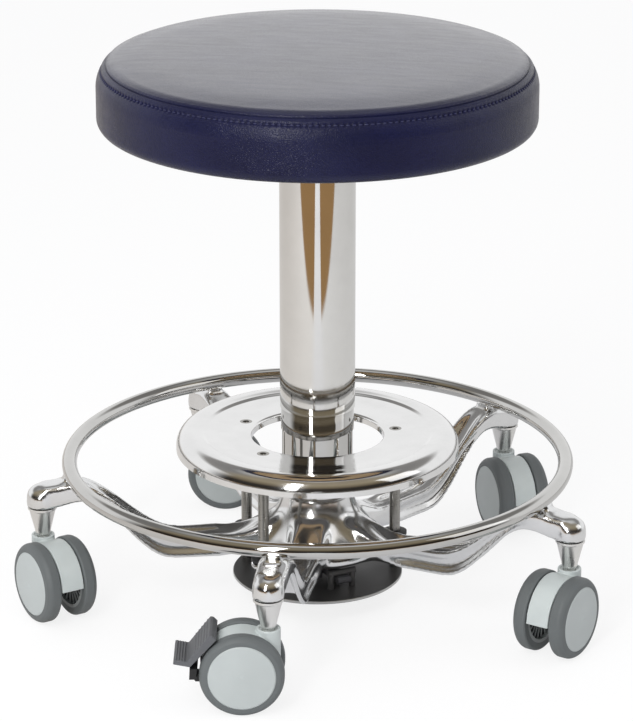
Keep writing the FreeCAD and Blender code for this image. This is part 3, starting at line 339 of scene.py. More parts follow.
def wheel_core_finish(name, face_rgb, web_shade_rgb, middle, axle):
    """A wheel core: pale outer face, behind it a web painted dark as shade in the recess between the ribs,
    with paler rib edges.
    """
    material, place = new_material(name)
    along = dot(vector_math("SUBTRACT", place, middle), axle)
    outside = remap(along, WEB_DEPTH, WEB_DEPTH + 0.2 * MM)
    rib_edge = remap(along, RIB_DEPTH, RIB_DEPTH + 0.3 * MM, 1.0, 0.0)
    # The web deep between the ribs takes the dark colour: painted shade.
    web = blend(rib_edge, web_shade_rgb, scaled(face_rgb, 0.6))
    clouds = noise(place, 30.0, detail=3.0)
    return finish(material, {
        "Base Color": blend(outside, web, mottled(clouds, face_rgb, 0.96, 1.03)),
        "Roughness": vary(clouds, 0.34, 0.42),
        "Normal": bump(noise(place, 1800.0), 0.25, 0.02 * MM),
    })


def plate_finish(rgb):
    """Charcoal plate: bare steel on its cut edge; what stands up from it is painted paler, painted light
    that offsets its shade.
    """
    material, place = new_material("charcoal_plate")
    flat = vector_math("MULTIPLY", place, (1.0, 1.0, 0.0))
    out = vector_math("DISTANCE", flat, (0.0, 0.0, 0.0), "Value")
    bare = remap(out, PLATE_EDGE, PLATE_EDGE + 0.3 * MM)
    # What stands higher than the plate's top is painted 1.5 times lighter: painted light against its shade.
    standing_shade_lift = remap(upward(place), PLATE_TOP, PLATE_TOP + 0.3 * MM)
    clouds = noise(place, 28.0, detail=3.0)
    sheet = blend(bare, mottled(clouds, rgb, 0.9, 1.1), BARE_STEEL)
    return finish(material, {
        "Base Color": blend(standing_shade_lift, sheet, scaled(rgb, 1.5)),
        "Metallic": bare,
        "Roughness": vary(clouds, 0.36, 0.44),
        "Normal": bump(noise(place, 1400.0), 0.3, 0.02 * MM),
    })


def plywood():
    """Raw birch board: long grain with growth bands."""
    material, place = new_material("raw_plywood")
    along = drawn_out(place, (1.0, 0.08, 1.0))
    fibres = noise(along, 260.0, detail=4.0, rough=0.65)
    bands = vary(noise(along, 34.0))
    tone = blend(bands, (0.47, 0.32, 0.17), (0.6, 0.44, 0.26))
    return finish(material, {
        "Base Color": blend(remap(fibres, 0.45, 0.7, 0.0, 0.5), tone, (0.33, 0.2, 0.1)),
        "Roughness": vary(fibres, 0.6, 0.75),
        "Normal": bump(fibres, 0.3, 0.1 * MM),
    })


def thread(rgb):
    """Twisted sewing thread."""
    material, place = new_material("sewing_thread")
    twist = noise(place, 2600.0)
    return finish(material, {
        "Base Color": blend(twist, scaled(rgb, 0.7), scaled(rgb, 1.4)),
        "Roughness": vary(twist, 0.5, 0.65),
        "Normal": bump(twist, 0.5, 0.1 * MM),
    })


def paint(piece, material):
    """Give a piece one finish."""
    piece.data.materials.clear()
    piece.data.materials.append(material)


def dress(material, *names):
    """Give CAD nodes a finish."""
    for name in names:
        paint(cad_nodes[name], material)


# Meshes


def add_object(name, data):
    """Put a mesh, a lamp or a camera into the scene."""
    thing = bpy.data.objects.new(name, data)
    bpy.context.scene.collection.objects.link(thing)
    return thing


def new_object(name, verts, faces):
    mesh = bpy.data.meshes.new(name)
    mesh.from_pydata([tuple(v) for v in verts], [], [tuple(f) for f in faces])
    mesh.update()
    return add_object(name, mesh)


def modify(piece, kind, **settings):
    """Add a modifier and set its options."""
    return set_all(piece.modifiers.new(kind.lower(), kind), **settings)


def result_mesh(piece):
    """A plain mesh of what a piece's modifiers make of it."""
    graph = bpy.context.evaluated_depsgraph_get()
    return bpy.data.meshes.new_from_object(piece.evaluated_get(graph))


def keep_result(piece):
    """Put what a piece's modifiers make of it in place of its mesh."""
    mesh = result_mesh(piece)
    piece.modifiers.clear()
    piece.vertex_groups.clear()
    piece.data = mesh


def point_array(mesh):
    """The places of a mesh's points, one row each."""
    spots = np.zeros(len(mesh.vertices) * 3)
    mesh.vertices.foreach_get("co", spots)
    return spots.reshape(-1, 3)


def smooth_over(piece, sharp_degrees=34.0):
    """Shade a piece smoothly, apart from its sharp edges."""
    piece.data.shade_smooth()
    piece.data.set_sharp_from_angle(angle=math.radians(sharp_degrees))


def ring_faces(rings, around, closed=True):
    """Quads between rings of points that each hold the same number of points."""
    pairs = [(ring, ring + 1) for ring in range(rings - 1)]
    if closed:
        pairs.append((rings - 1, 0))
    faces = []
    for low, high in pairs:
        for step in range(around):
            onward = (step + 1) % around
            faces.append((
                low * around + step, low * around + onward,
                high * around + onward, high * around + step,
            ))
    return faces


def angles_round(count):
    """Evenly spaced angles of one full turn."""
    return np.arange(count) * (math.tau / count)


def turn_points(outline, around):
    """Each point of an outline of (radius, height), all round the column axis."""
    angles = angles_round(around)
    circle = np.stack([np.cos(angles), np.sin(angles)], axis=1)
    points = np.zeros((len(outline), around, 3))
    for ring, (radius, height) in enumerate(outline):
        points[ring, :, :2] = circle * radius
        points[ring, :, 2] = height
    return points


# Padded seat

SEAT_RADIUS = 200.0 * MM
SEAT_LOW = 459.5 * MM
SEAT_CROWN = 525.0 * MM
SEAM = np.array((191.4, 517.0)) * MM
SHOULDER = np.array((181.0, 522.5)) * MM
WALL_TOP = 496.5 * MM
EDGE_ROUND = 9.5 * MM
WALL_ROUND = 28.7 * MM
SEAM_ROUND = 12.6 * MM
CROWN_RING = np.array((6.0 * MM, SEAT_CROWN - 0.01 * MM))
WRAP_RADIUS = 160.0 * MM
COVER = 1.5 * MM
BOARD_RADIUS = 186.3 * MM
BOARD_TOP = 473.2 * MM
CLOTH_FRAMES = 20
CLOTH_SEED = 7
SWELL_WAVES = 7
PUCKER_SEED = 11
PUCKER_WAVES = (3, 7, 13, 29, 47, 83)


def arc_points(start, end, radius, steps):
    """Points on the arc from start to end that bends to the left, without its end."""
    start, end = np.array(start), np.array(end)
    chord = end - start
    reach = np.linalg.norm(chord)
    across = np.array((-chord[1], chord[0])) / reach
    middle = (start + end) / 2 + across * math.sqrt(max(radius ** 2 - reach ** 2 / 4, 0.0))
    first = math.atan2(*(start - middle)[::-1])
    sweep = 2 * math.asin(min(reach / (2 * radius), 1.0))
    angles = first + sweep * np.arange(steps) / steps
    return [middle + radius * np.array((math.cos(a), math.sin(a))) for a in angles]


def line_points(start, end, steps):
    start, end = np.array(start), np.array(end)
    return [start + (end - start) * share for share in np.arange(steps) / steps]


def cover_outline():
    """The cover's outside from the stapled edge under the board to the crown."""
    crown_rise = SEAT_CROWN - SHOULDER[1]
    crown_ball = SHOULDER[0] ** 2 / (2 * crown_rise) + crown_rise / 2
    under = (SEAT_RADIUS - EDGE_ROUND, SEAT_LOW)
    wall_low = (SEAT_RADIUS, SEAT_LOW + EDGE_ROUND)
    wall_top = (SEAT_RADIUS, WALL_TOP)
    points = line_points((WRAP_RADIUS, SEAT_LOW), under, 8)
    points += arc_points(under, wall_low, EDGE_ROUND, 9)
    points += line_points(wall_low, wall_top, 7)
    points += arc_points(wall_top, SEAM, WALL_ROUND, 34)
    points += arc_points(SEAM, SHOULDER, SEAM_ROUND, 18)
    points += arc_points(SHOULDER, CROWN_RING, crown_ball, 18)
    points.append(CROWN_RING)
    return np.array(points)


def outline_normals(outline):
    """Outward directions of an outline that runs up the outside."""
    slope = np.gradient(outline, axis=0)
    normals = np.stack([slope[:, 1], -slope[:, 0]], axis=1)
    return normals / np.linalg.norm(normals, axis=1, keepdims=True)


def seam_run(outline):
    """How far along an outline each of its points lies, and where on that way the seam is."""
    steps = np.linalg.norm(np.diff(outline, axis=0), axis=1)
    run = np.concatenate([[0.0], np.cumsum(steps)])
    return run, run[np.argmin(np.linalg.norm(outline - SEAM, axis=1))]


def press_out(outline, around, swell):
    """Blow the cover up like a filled cushion: a cloth held along its seam and its stapled edge.

    Returns how far each point moves along the outline's normal, ring by ring."""
    points = turn_points(outline, around)
    unrest = np.random.default_rng(CLOTH_SEED).normal(0.0, 0.06 * MM, points.shape)
    rings = len(outline)
    faces = ring_faces(rings, around, closed=False)
    faces.append(tuple((rings - 1) * around + step for step in range(around)))
    cloth = new_object("cover_cloth", (points + unrest).reshape(-1, 3), faces)
    from_seam = np.linalg.norm(outline - SEAM, axis=1)
    held = [ring for ring in range(rings)
            if from_seam[ring] < 3.0 * MM or outline[ring][1] < SEAT_LOW + 2.0 * MM]
    pins = cloth.vertex_groups.new(name="held")
    pins.add([ring * around + step for ring in held for step in range(around)], 1.0, "REPLACE")
    modifier = modify(cloth, "CLOTH")
    set_all(
        modifier.settings, quality=6, mass=0.4, tension_stiffness=25.0, compression_stiffness=25.0,
        shear_stiffness=12.0, bending_stiffness=1.5, use_pressure=True, uniform_pressure_force=4.0,
        vertex_group_mass=pins.name,
    )
    modifier.settings.effector_weights.gravity = 0.0
    modifier.collision_settings.use_collision = False
    set_all(modifier.point_cache, frame_start=1, frame_end=CLOTH_FRAMES)
    scene = bpy.context.scene
    for step in range(1, CLOTH_FRAMES + 1):
        scene.frame_set(step)
    shift = point_array(result_mesh(cloth)).reshape(points.shape) - points
    scene.frame_set(1)
    bpy.data.objects.remove(cloth)
    normals = outline_normals(outline)
    angles = angles_round(around)
    outward = shift[:, :, 0] * np.cos(angles) + shift[:, :, 1] * np.sin(angles)
    waves = np.fft.rfft(outward * normals[:, :1] + shift[:, :, 2] * normals[:, 1:], axis=1)
    waves[:, SWELL_WAVES:] = 0.0
    along = np.fft.irfft(waves, n=around, axis=1)
    return swell * along / (np.abs(along) + swell)


def seam_shape(outline, angles, stitch_count, stitch_drop):
    """The sewn edge: a groove at the seam, a lapped strip under it and a row pulled in by stitches."""
    run, seam_at = seam_run(outline)
    up = (run - seam_at) / MM
    drop = stitch_drop / MM

    def hump(middle, width):
        return np.exp(-((up - middle) / width) ** 2)[:, None]

    rng = np.random.default_rng(PUCKER_SEED)
    wander = np.zeros(len(angles))
    for waves in PUCKER_WAVES:
        wander += np.cos(waves * angles + rng.uniform(0, math.tau)) * rng.uniform(0.3, 1.0) / 3.0
    dimple = (0.5 + 0.5 * np.cos(angles * stitch_count)) ** 2
    groove = -1.0 * hump(0.0, 0.6)
    strip = 0.45 * hump(-0.5 * drop, 0.36 * drop)
    row = -0.35 * hump(-drop, 0.9)
    holes = -1.7 * hump(-drop, 1.5) * dimple
    puckers = (0.1 * hump(3.0, 2.5) + 0.14 * hump(-drop - 4.0, 4.0)) * wander
    ticks = -0.3 * hump(1.4, 0.8) * dimple
    return (groove + strip + row + holes + puckers + ticks) * MM


def gathers(outline, angles):
    """Small pleats where the cover is drawn in under the board."""
    under = np.clip((SEAT_RADIUS - EDGE_ROUND - outline[:, 0]) / (20.0 * MM), 0.0, 1.0)
    under *= outline[:, 1] < SEAT_LOW + 0.5 * MM
    folds = np.abs(np.sin(angles * 26.0 + 0.7 * np.sin(angles * 5.0))) ** 3
    return under[:, None] * folds[None] * 0.9 * MM


class STOOL_OT_cushion(bpy.types.Operator):
    """Make the padded seat: a swollen cover with a sewn edge"""

    bl_idname = "stool.cushion"
    bl_label = "Padded seat"

    def execute(self, context):
        seat = context.scene.stool_seat
        outline = cover_outline()
        coarse = seat.stitch_count // 2
        fine = seat.stitch_count * 4
        angles = angles_round(fine)
        pushed = press_out(outline, coarse, seat.swell)
        spots = np.arange(coarse + 1) * (math.tau / coarse)
        swell = np.stack([np.interp(angles, spots, np.append(row, row[0])) for row in pushed])
        out = swell + seam_shape(outline, angles, seat.stitch_count, seat.stitch_drop)
        out += gathers(outline, angles)
        points = turn_points(outline, fine)
        normals = outline_normals(outline)
        points[:, :, 0] += np.cos(angles) * normals[:, :1] * out
        points[:, :, 1] += np.sin(angles) * normals[:, :1] * out
        points[:, :, 2] += normals[:, 1:] * out
        cover_inside = SEAT_LOW + COVER + 0.1 * MM
        inside = turn_points([
            (BOARD_RADIUS, BOARD_TOP), (BOARD_RADIUS, cover_inside), (WRAP_RADIUS, cover_inside),
        ], fine)
        rings = np.concatenate([inside, points])
        faces = ring_faces(len(rings), fine, closed=False)
        crown = len(rings) * fine
        last = crown - fine
        floor = crown + 1
        for step in range(fine):
            onward = (step + 1) % fine
            faces.append((last + step, last + onward, crown))
            faces.append((onward, step, floor))
        ends = [(0, 0, points[-1, :, 2].mean()), (0, 0, BOARD_TOP)]
        cushion = new_object("seat_cushion", np.concatenate([rings.reshape(-1, 3), ends]), faces)
        smooth_over(cushion, sharp_degrees=70.0)
        paint(cushion, leatherette(seat.cover_colour, seat.grain_size))
        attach(cushion, "seat")
        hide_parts("seat_cover_top", "seat_cover_band", "seat_foam")
        return {"FINISHED"}


# Rows of small pieces, made with geometry nodes


def row_tree(name, make_piece, material):
    """A node group that sets copies of a piece round a circle, each along the circle's line.

    Returns the group and the identifiers of its named inputs."""
    tree = bpy.data.node_groups.new(name, "GeometryNodeTree")
    tree.interface.new_socket(name="Geometry", in_out="OUTPUT", socket_type="NodeSocketGeometry")
    names = {}
    for label, kind, default in (
        ("Radius", "Float", 0.1), ("Height", "Float", 0.0), ("Count", "Int", 12), ("Turn", "Float", 0.0),
    ):
        socket = tree.interface.new_socket(name=label, in_out="INPUT", socket_type=f"NodeSocket{kind}")
        socket.default_value = default
        names[label] = socket.identifier
    given = put(tree, "NodeGroupInput").outputs
    circle = put(tree, "GeometryNodeCurvePrimitiveCircle", {"Resolution": 256, "Radius": given["Radius"]})
    path = put(tree, "GeometryNodeTransform", {
        "Geometry": circle.outputs["Curve"],
        "Translation": put(tree, "ShaderNodeCombineXYZ", {"Z": given["Height"]}).outputs["Vector"],
        "Rotation": put(tree, "ShaderNodeCombineXYZ", {"Z": given["Turn"]}).outputs["Vector"],
    }).outputs["Geometry"]
    spots = put(tree, "GeometryNodeCurveToPoints", {"Curve": path, "Count": given["Count"]}, mode="COUNT")
    along = put(tree, "FunctionNodeAlignRotationToVector", {
        "Vector": spots.outputs["Tangent"],
    }, axis="X", pivot_axis="Z").outputs["Rotation"]
    copies = put(tree, "GeometryNodeInstanceOnPoints", {
        "Points": spots.outputs["Points"], "Instance": make_piece(tree), "Rotation": along,
    }).outputs["Instances"]
    solid = put(tree, "GeometryNodeRealizeInstances", {"Geometry": copies}).outputs["Geometry"]
    painted = put(tree, "GeometryNodeSetMaterial", {"Geometry": solid, "Material": material})
    put(tree, "NodeGroupOutput", {"Geometry": painted.outputs["Geometry"]})
    return tree, names


def grow_row(name, make_piece, material, values):
    """Run a row's node group and keep the result as a plain mesh."""
    row = new_object(name, [], [])
    tree, names = row_tree(name, make_piece, material)
    modifier = modify(row, "NODES", node_group=tree)
    for label, value in values.items():
        modifier[names[label]] = value
    keep_result(row)
    row.data.shade_smooth()
    return row


def stitch_piece(tree):
    """One stitch: a short thread with rounded ends."""
    ball = put(tree, "GeometryNodeMeshUVSphere", {"Segments": 8, "Rings": 6, "Radius": 1.0 * MM})
    return put(tree, "GeometryNodeTransform", {
        "Geometry": ball.outputs["Mesh"], "Scale": (1.75, 0.5, 0.5),
    }).outputs["Geometry"]


def staple_piece(tree):
    """The bar of one staple."""
    bar = put(tree, "GeometryNodeMeshCube", {"Size": (10.0 * MM, 1.2 * MM, 0.7 * MM)})
    return bar.outputs["Mesh"]


class STOOL_OT_seat_rows(bpy.types.Operator):
    """Sew the seam and staple the cover under the board"""

    bl_idname = "stool.seat_rows"
    bl_label = "Stitches and staples"

    def execute(self, context):
        seat = context.scene.stool_seat
        outline = cover_outline()
        run, seam_at = seam_run(outline)
        row_at = seam_at - seat.stitch_drop
        radius, height = (np.interp(row_at, run, column) for column in outline.T)
        out, up = (np.interp(row_at, run, column) for column in outline_normals(outline).T)
        sunk = 0.4 * MM
        stitches = grow_row("seat_stitches", stitch_piece, thread(seat.thread_colour), {
            "Radius": radius - out * sunk,
            "Height": height - up * sunk,
            "Count": seat.stitch_count,
            "Turn": math.pi / seat.stitch_count,
        })
        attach(stitches, "seat")
        zinc = polished("staple_zinc", ZINC, 0.3, 5.0, 0.01)
        staples = grow_row("seat_staples", staple_piece, zinc, {
            "Radius": WRAP_RADIUS + 9.0 * MM,
            "Height": SEAT_LOW - 0.3 * MM,
            "Count": seat.staple_count,
            "Turn": 0.0,
        })
        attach(staples, "seat")
        return {"FINISHED"}


# Cast base; sizes in millimetres

ARM_TURNS = (-90.0, -18.0, 54.0, 126.0, 198.0)
LUG_TURNS = (19.0, 165.0, 237.0)
ARM_START = 28.0
RISE_START = 132.0
RISE_END = 230.0
STEM_OUT = 258.6
ARM_LOW = 47.5
ARM_LOW_RISE = 62.0
ARM_TOP = 70.5
ARM_TOP_RISE = 57.0
ARM_HALF = 15.0
ARM_WALL = 5.5
ARM_RECESS = 4.6
ARM_GROOVE = 8.0
HUB_FAIRING = 20.0
HUB_ROOT = 62.0
HUB_TOP = 34.0
HUB_BORE = 25.0
HUB_HEIGHT = 106.0
HUB_LOW = 44.5
HUB_EDGE = 1.5
FLARE_ROUND = 75.0
FLARE_LOW = 55.5
BOSS_RADIUS = 14.5
BOSS_LOW = 102.4
BOSS_TOP = 124.6
SADDLE_HALF = 7.5
SADDLE_LEVELS = ((13.0, 121.5), (7.0, 128.5), (6.0, 133.8))
LUG_OUT = 74.0
LUG_MIDDLE = 55.0
LUG_REACH = 11.0
LUG_HALF = 13.0
LUG_BORE = 8.0
LUG_LOW = 46.5
LUG_HIGH = 54.5
RING_RADIUS = 231.8
CASTING_VOXEL = 1.65


def turned(shape, turn, out=0.0):
    """A shape moved out along X and then turned about Z."""
    points, faces = shape
    angle = math.radians(turn)
    spin = np.array([
        [math.cos(angle), math.sin(angle), 0.0],
        [-math.sin(angle), math.cos(angle), 0.0],
        [0.0, 0.0, 1.0],
    ])
    return (points + np.array((out, 0.0, 0.0))) @ spin, faces


def joined(name, shapes):
    """One mesh in metres from several closed shapes in millimetres."""
    points = []
    faces = []
    for shape_points, shape_faces in shapes:
        first = len(points)
        points += list(shape_points * MM)
        faces += [tuple(first + corner for corner in face) for face in shape_faces]
    return new_object(name, points, faces)


def ease(start, end, value):
    """Goes softly from 0 to 1 between start and end."""
    share = min(max((value - start) / (end - start), 0.0), 1.0)
    return share * share * (3.0 - 2.0 * share)


def between(value, first, second, third, fourth):
    """Eases up from 0 to 1 between the first two limits and down again between the last two."""
    return ease(first, second, value) * (1.0 - ease(third, fourth, value))


def arm_section(radius):
    """Control points of one arm section: two walls with a web between them."""
    rise = ease(RISE_START, RISE_END, radius)
    tuck = ease(RISE_END + 4.0, STEM_OUT, radius)
    rounder = ease(RISE_END - 40.0, RISE_END, radius)
    low = ARM_LOW + ARM_LOW_RISE * ease(RISE_START + 9.0, RISE_END - 9.0, radius)
    low -= 6.4 * ease(RISE_END - 8.0, STEM_OUT - 8.0, radius)
    top = ARM_TOP + ARM_TOP_RISE * rise + HUB_FAIRING * (1.0 - ease(20.0, 1.3 * HUB_ROOT, radius))
    top -= 2.6 * ease(RISE_END - 6.0, STEM_OUT, radius) + tuck
    tall = top - low
    flare = 2.4 * between(radius, 10.0, 0.85 * HUB_ROOT, HUB_ROOT, 2.0 * HUB_ROOT)
    half = (ARM_HALF - rise) * (1.0 - 0.05 * tuck) + flare
    open_top = between(radius, 0.6 * HUB_ROOT, 1.3 * HUB_ROOT, RISE_END - 34.0, RISE_END - 10.0)
    open_low = between(radius, HUB_ROOT, 1.5 * HUB_ROOT, RISE_END - 18.0, RISE_END)
    recess = between(radius, 1.1 * HUB_ROOT, 1.7 * HUB_ROOT, RISE_END - 44.0, RISE_END - 14.0)
    groove = top - ARM_GROOVE * open_top
    hollow = low + 0.42 * tall * open_low
    inner = half - ARM_WALL
    crest = inner - 0.45 * ARM_WALL * rounder
    shoulder = top - 4.0 - 1.1 * ARM_WALL * rounder
    waist = half - ARM_RECESS * recess
    side = [
        (inner * 0.4, hollow), (inner - 1.5, hollow), (inner, low), (half, low), (half, low + 4.0),
        (waist, low + 0.36 * tall), (waist, low + 0.6 * tall),
        (half, shoulder), (half, top), (crest, top), (crest * 0.8, groove), (crest * 0.4, groove),
    ]
    other_side = [(-across, height) for across, height in reversed(side)]
    return [(radius, across, height) for across, height in side + other_side]


def spline_along(net, samples):
    """Rows on a cubic spline that starts and ends on the first and last row of the net."""
    spans = len(net) - 3
    knots = [0.0] * 3 + [float(knot) for knot in range(spans + 1)] + [float(spans)] * 3
    rows = []
    for value in np.linspace(0.0, spans, samples):
        span = min(int(value), spans - 1) + 3
        work = [net[span - 3 + index] for index in range(4)]
        for level in range(1, 4):
            for index in range(3, level - 1, -1):
                start = knots[span - 3 + index]
                end = knots[span + 1 + index - level]
                share = (value - start) / (end - start)
                work[index] = work[index - 1] * (1.0 - share) + work[index] * share
        rows.append(work[3])
    return np.array(rows)


def spline_round(net, steps):
    """Columns on a closed quadratic spline round the net."""
    columns = []
    count = net.shape[1]
    for span in range(count):
        first, second, third = (net[:, (span + offset) % count] for offset in range(3))
        for share in np.arange(steps) / steps:
            columns.append(
                first * 0.5 * (1.0 - share) ** 2
                + second * (0.5 + share - share * share)
                + third * 0.5 * share * share
            )
    return np.stack(columns, axis=1)


def capped(points):
    """Points and faces of a closed shape made of rings, with flat ends."""
    rings, around = points.shape[:2]
    faces = ring_faces(rings, around, closed=False)
    faces.append(tuple(reversed(range(around))))
    faces.append(tuple((rings - 1) * around + step for step in range(around)))
    return points.reshape(-1, 3), faces


def looped(points):
    """Points and faces of a closed shape made of rings that meet again."""
    rings, around = points.shape[:2]
    return points.reshape(-1, 3), ring_faces(rings, around)


def block(middle, half_width, levels):
    """A block across the X axis, with a rectangle at each level of (half length, height)."""
    return capped(np.array([
        [(middle + along * reach, across * half_width, height) for along, across in CORNERS]
        for reach, height in levels
    ]))


def casting_shapes():
    """Hub, arms, bosses, saddles and lugs, which overlap one another."""
    stations = [ARM_START + (RISE_START - ARM_START) * step / 7.0 for step in range(7)]
    stations += [RISE_START + (RISE_END - RISE_START) * step / 8.0 for step in range(9)]
    stations += [RISE_END + (STEM_OUT - RISE_END) * step / 3.0 for step in range(1, 4)]
    net = np.array([arm_section(radius) for radius in stations])
    arm = capped(spline_round(spline_along(net, 100), 4))

    hub_outline = [(HUB_BORE, HUB_HEIGHT), (HUB_TOP - HUB_EDGE, HUB_HEIGHT)]
    hub_outline.append((HUB_TOP, HUB_HEIGHT - HUB_EDGE))
    hub_outline += arc_points((HUB_TOP, HUB_HEIGHT - 4.0), (HUB_ROOT, FLARE_LOW), FLARE_ROUND, 14)
    hub_outline += [(HUB_ROOT, FLARE_LOW), (HUB_ROOT, HUB_LOW + 2.0), (HUB_ROOT - 2.0, HUB_LOW)]
    hub_outline.append((HUB_BORE, HUB_LOW))
    hub = looped(turn_points(hub_outline[::-1], 120))

    dome = 0.85 * BOSS_RADIUS
    tip = 0.5
    boss_outline = [(tip, BOSS_LOW), (BOSS_RADIUS - 1.0, BOSS_LOW), (BOSS_RADIUS, BOSS_LOW + 1.5)]
    boss_outline += [
        (max(BOSS_RADIUS * math.cos(angle), tip), BOSS_TOP - dome + dome * math.sin(angle))
        for angle in np.linspace(0.0, math.pi / 2, 14)
    ]
    boss = capped(turn_points(boss_outline, 64))

    saddle = block(RING_RADIUS, SADDLE_HALF, SADDLE_LEVELS)
    lug = block(LUG_MIDDLE, LUG_HALF, ((LUG_REACH, LUG_LOW), (LUG_REACH, LUG_HIGH)))
    eye = looped(turn_points([
        (LUG_BORE, LUG_LOW), (LUG_HALF, LUG_LOW), (LUG_HALF, LUG_HIGH), (LUG_BORE, LUG_HIGH),
    ], 48))

    shapes = [hub]
    for turn in ARM_TURNS:
        shapes += [turned(arm, turn), turned(boss, turn, STEM_OUT), turned(saddle, turn)]
    for turn in LUG_TURNS:
        shapes += [turned(lug, turn), turned(eye, turn, LUG_OUT)]
    return shapes


def skin_over(piece, voxel, rounds):
    """One smooth skin over overlapping shapes, with soft blends where they meet."""
    modify(piece, "REMESH", mode="VOXEL", voxel_size=voxel)
    soften(piece, rounds)


def soften(piece, rounds, weights=None):
    """Smooth a piece in place, everywhere or by a weight for each point."""
    rule = modify(piece, "SMOOTH", factor=0.5, iterations=rounds)
    if weights is not None:
        group = piece.vertex_groups.new(name="soft")
        for index in np.nonzero(weights > 0.01)[0]:
            group.add([int(index)], float(weights[index]), "REPLACE")
        rule.vertex_group = group.name
    keep_result(piece)
    piece.data.shade_smooth()


def soft_places(piece):
    """How far each point is smoothed: fully on the flank of the hub, a little at the arm ends."""
    x, y, height = point_array(piece.data).T / MM
    out = np.hypot(x, y)

    def grows(value, start, run):
        return np.clip((value - start) / run, 0.0, 1.0)

    hub = grows(-out, -96.0, 30.0) * grows(-height, -102.0, 10.0)
    arm_ends = 0.16 * grows(out, 234.0, 8.0) * grows(height, 104.0, 6.0)
    return np.maximum(hub, arm_ends)


class STOOL_OT_casting(bpy.types.Operator):
    """Cast the base: hub, arms, bosses and lugs flow into one polished skin"""

    bl_idname = "stool.casting"
    bl_label = "Cast base"

    def execute(self, context):
        look = context.scene.stool_finish
        casting = joined("cast_base", casting_shapes())
        skin_over(casting, CASTING_VOXEL * MM, rounds=10)
        soften(casting, rounds=130, weights=soft_places(casting))
        paint(casting, polished("polished_casting", look.casting_colour, 0.13, 26.0, 0.12, smear=0.08))
        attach(casting, "base")
        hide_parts("star_base")
        return {"FINISHED"}


# Bright metal; sizes of disc and screws in millimetres

DISC_HOLE = 61.5
DISC_EDGE = 132.0
DISC_FLAT = 160.5
DISC_SHEET = 2.0
DISC_CREST = 118.0
DISC_RISE = 4.0
DISC_LIP = 2.5
DISC_WAVE = 1000.0 / 22.0
# Painted shade for the faces of the foot disc that point down.
DISC_UNDER_SHADE = (0.2, 0.195, 0.19)
SCREW_HEAD_RADIUS = 5.8
ZINC = (0.62, 0.63, 0.65)
BARE_STEEL = (0.5, 0.5, 0.49)
PLATE_EDGE = 79.4 * MM
PLATE_TOP = 23.7 * MM


def disc_outline():
    """Section of the foot disc in metres, counter-clockwise: lip at the hole, flat, low step, rolled rim."""
    roll = DISC_EDGE - DISC_CREST
    inner_roll = roll - DISC_SHEET
    roll_low = DISC_FLAT + DISC_RISE - roll
    rim_end = roll_low - 4.0
    inner_edge = DISC_EDGE - DISC_SHEET
    inner_hole = DISC_HOLE + DISC_SHEET
    lip_top = DISC_FLAT - DISC_LIP
    lip_end = DISC_FLAT - 7.0
    radii = [DISC_HOLE + DISC_LIP, 70.0, 76.0, *np.arange(82.0, 104.0, 2.0)]
    radii += [*np.arange(104.0, 109.0, 0.5), *np.arange(109.0, DISC_CREST + 0.1, 1.0)]
    upper = []
    for radius in radii:
        climb = 0.35 * ease(84.0, 104.0, radius) + 0.35 * ease(104.0, 108.5, radius)
        climb += 0.3 * ease(106.0, DISC_CREST, radius)
        upper.append((radius, DISC_FLAT + DISC_RISE * climb))
    outline = [(DISC_HOLE, lip_end), (inner_hole, lip_end), (inner_hole, lip_top)]
    outline += [(radius, height - DISC_SHEET) for radius, height in upper]
    outline += arc_points((inner_edge, roll_low), (DISC_CREST, roll_low + inner_roll), inner_roll, 14)[::-1]
    outline += [(inner_edge, rim_end), (DISC_EDGE, rim_end)]
    outline += arc_points((DISC_EDGE, roll_low), (DISC_CREST, roll_low + roll), roll, 20)
    outline += upper[::-1]
    outline += arc_points(upper[0], (DISC_HOLE, lip_top), DISC_LIP, 5)[1:]
    outline.append((DISC_HOLE, lip_top))
    return np.array(outline) * MM


def pierce(piece, radius, out, turns):
    """Drill upright round holes through a piece; it lies between the drill's low and high end."""
    low, high = 0.1, 0.2
    drill = turn_points([(radius, low), (radius, high)], 40)
    cutters = []
    for turn in turns:
        angle = math.radians(turn)
        middle = (out * math.cos(angle), out * math.sin(angle), 0.0)
        cutters.append(new_object("drill", *capped(drill + middle)))
        modify(piece, "BOOLEAN", operation="DIFFERENCE", object=cutters[-1])
    keep_result(piece)
    for cutter in cutters:
        bpy.data.objects.remove(cutter)


class STOOL_OT_bright_metal(bpy.types.Operator):
    """Finish the column, the foot ring and the caster stems, and press the foot disc"""

    bl_idname = "stool.bright_metal"
    bl_label = "Bright metal"

    def execute(self, context):
        look = context.scene.stool_finish
        chrome = look.chrome_colour
        dress(polished("mirror_chrome", chrome, 0.035, 60.0), "sleeve_outer")
        # The middle and lower sleeves and the foot ring get a chrome 0.78 times as bright: painted shade.
        darkened_chrome = polished("chrome_painted_darker", scaled(chrome, 0.78), 0.045, 60.0)
        dress(darkened_chrome, "sleeve_middle", "sleeve_lower", "foot_ring")
        dress(polished("satin_chrome", scaled(chrome, 1.06), 0.27, 30.0), "caster_stems")
        dress(polished("screw_steel", look.steel_colour, 0.22, 30.0), "disc_screws")
        points, faces = looped(turn_points(disc_outline(), 192))
        disc = new_object("sheet_disc", points, [face[::-1] for face in faces])
        pierce(disc, SCREW_HEAD_RADIUS * MM, LUG_OUT * MM, LUG_TURNS)
        smooth_over(disc)
        paint(disc, polished(
            "polished_disc", look.disc_colour, 0.08, DISC_WAVE, 0.03, smear=0.05, under_shade_rgb=DISC_UNDER_SHADE,
        ))
        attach(disc, "release")
        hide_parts("foot_disc")
        return {"FINISHED"}


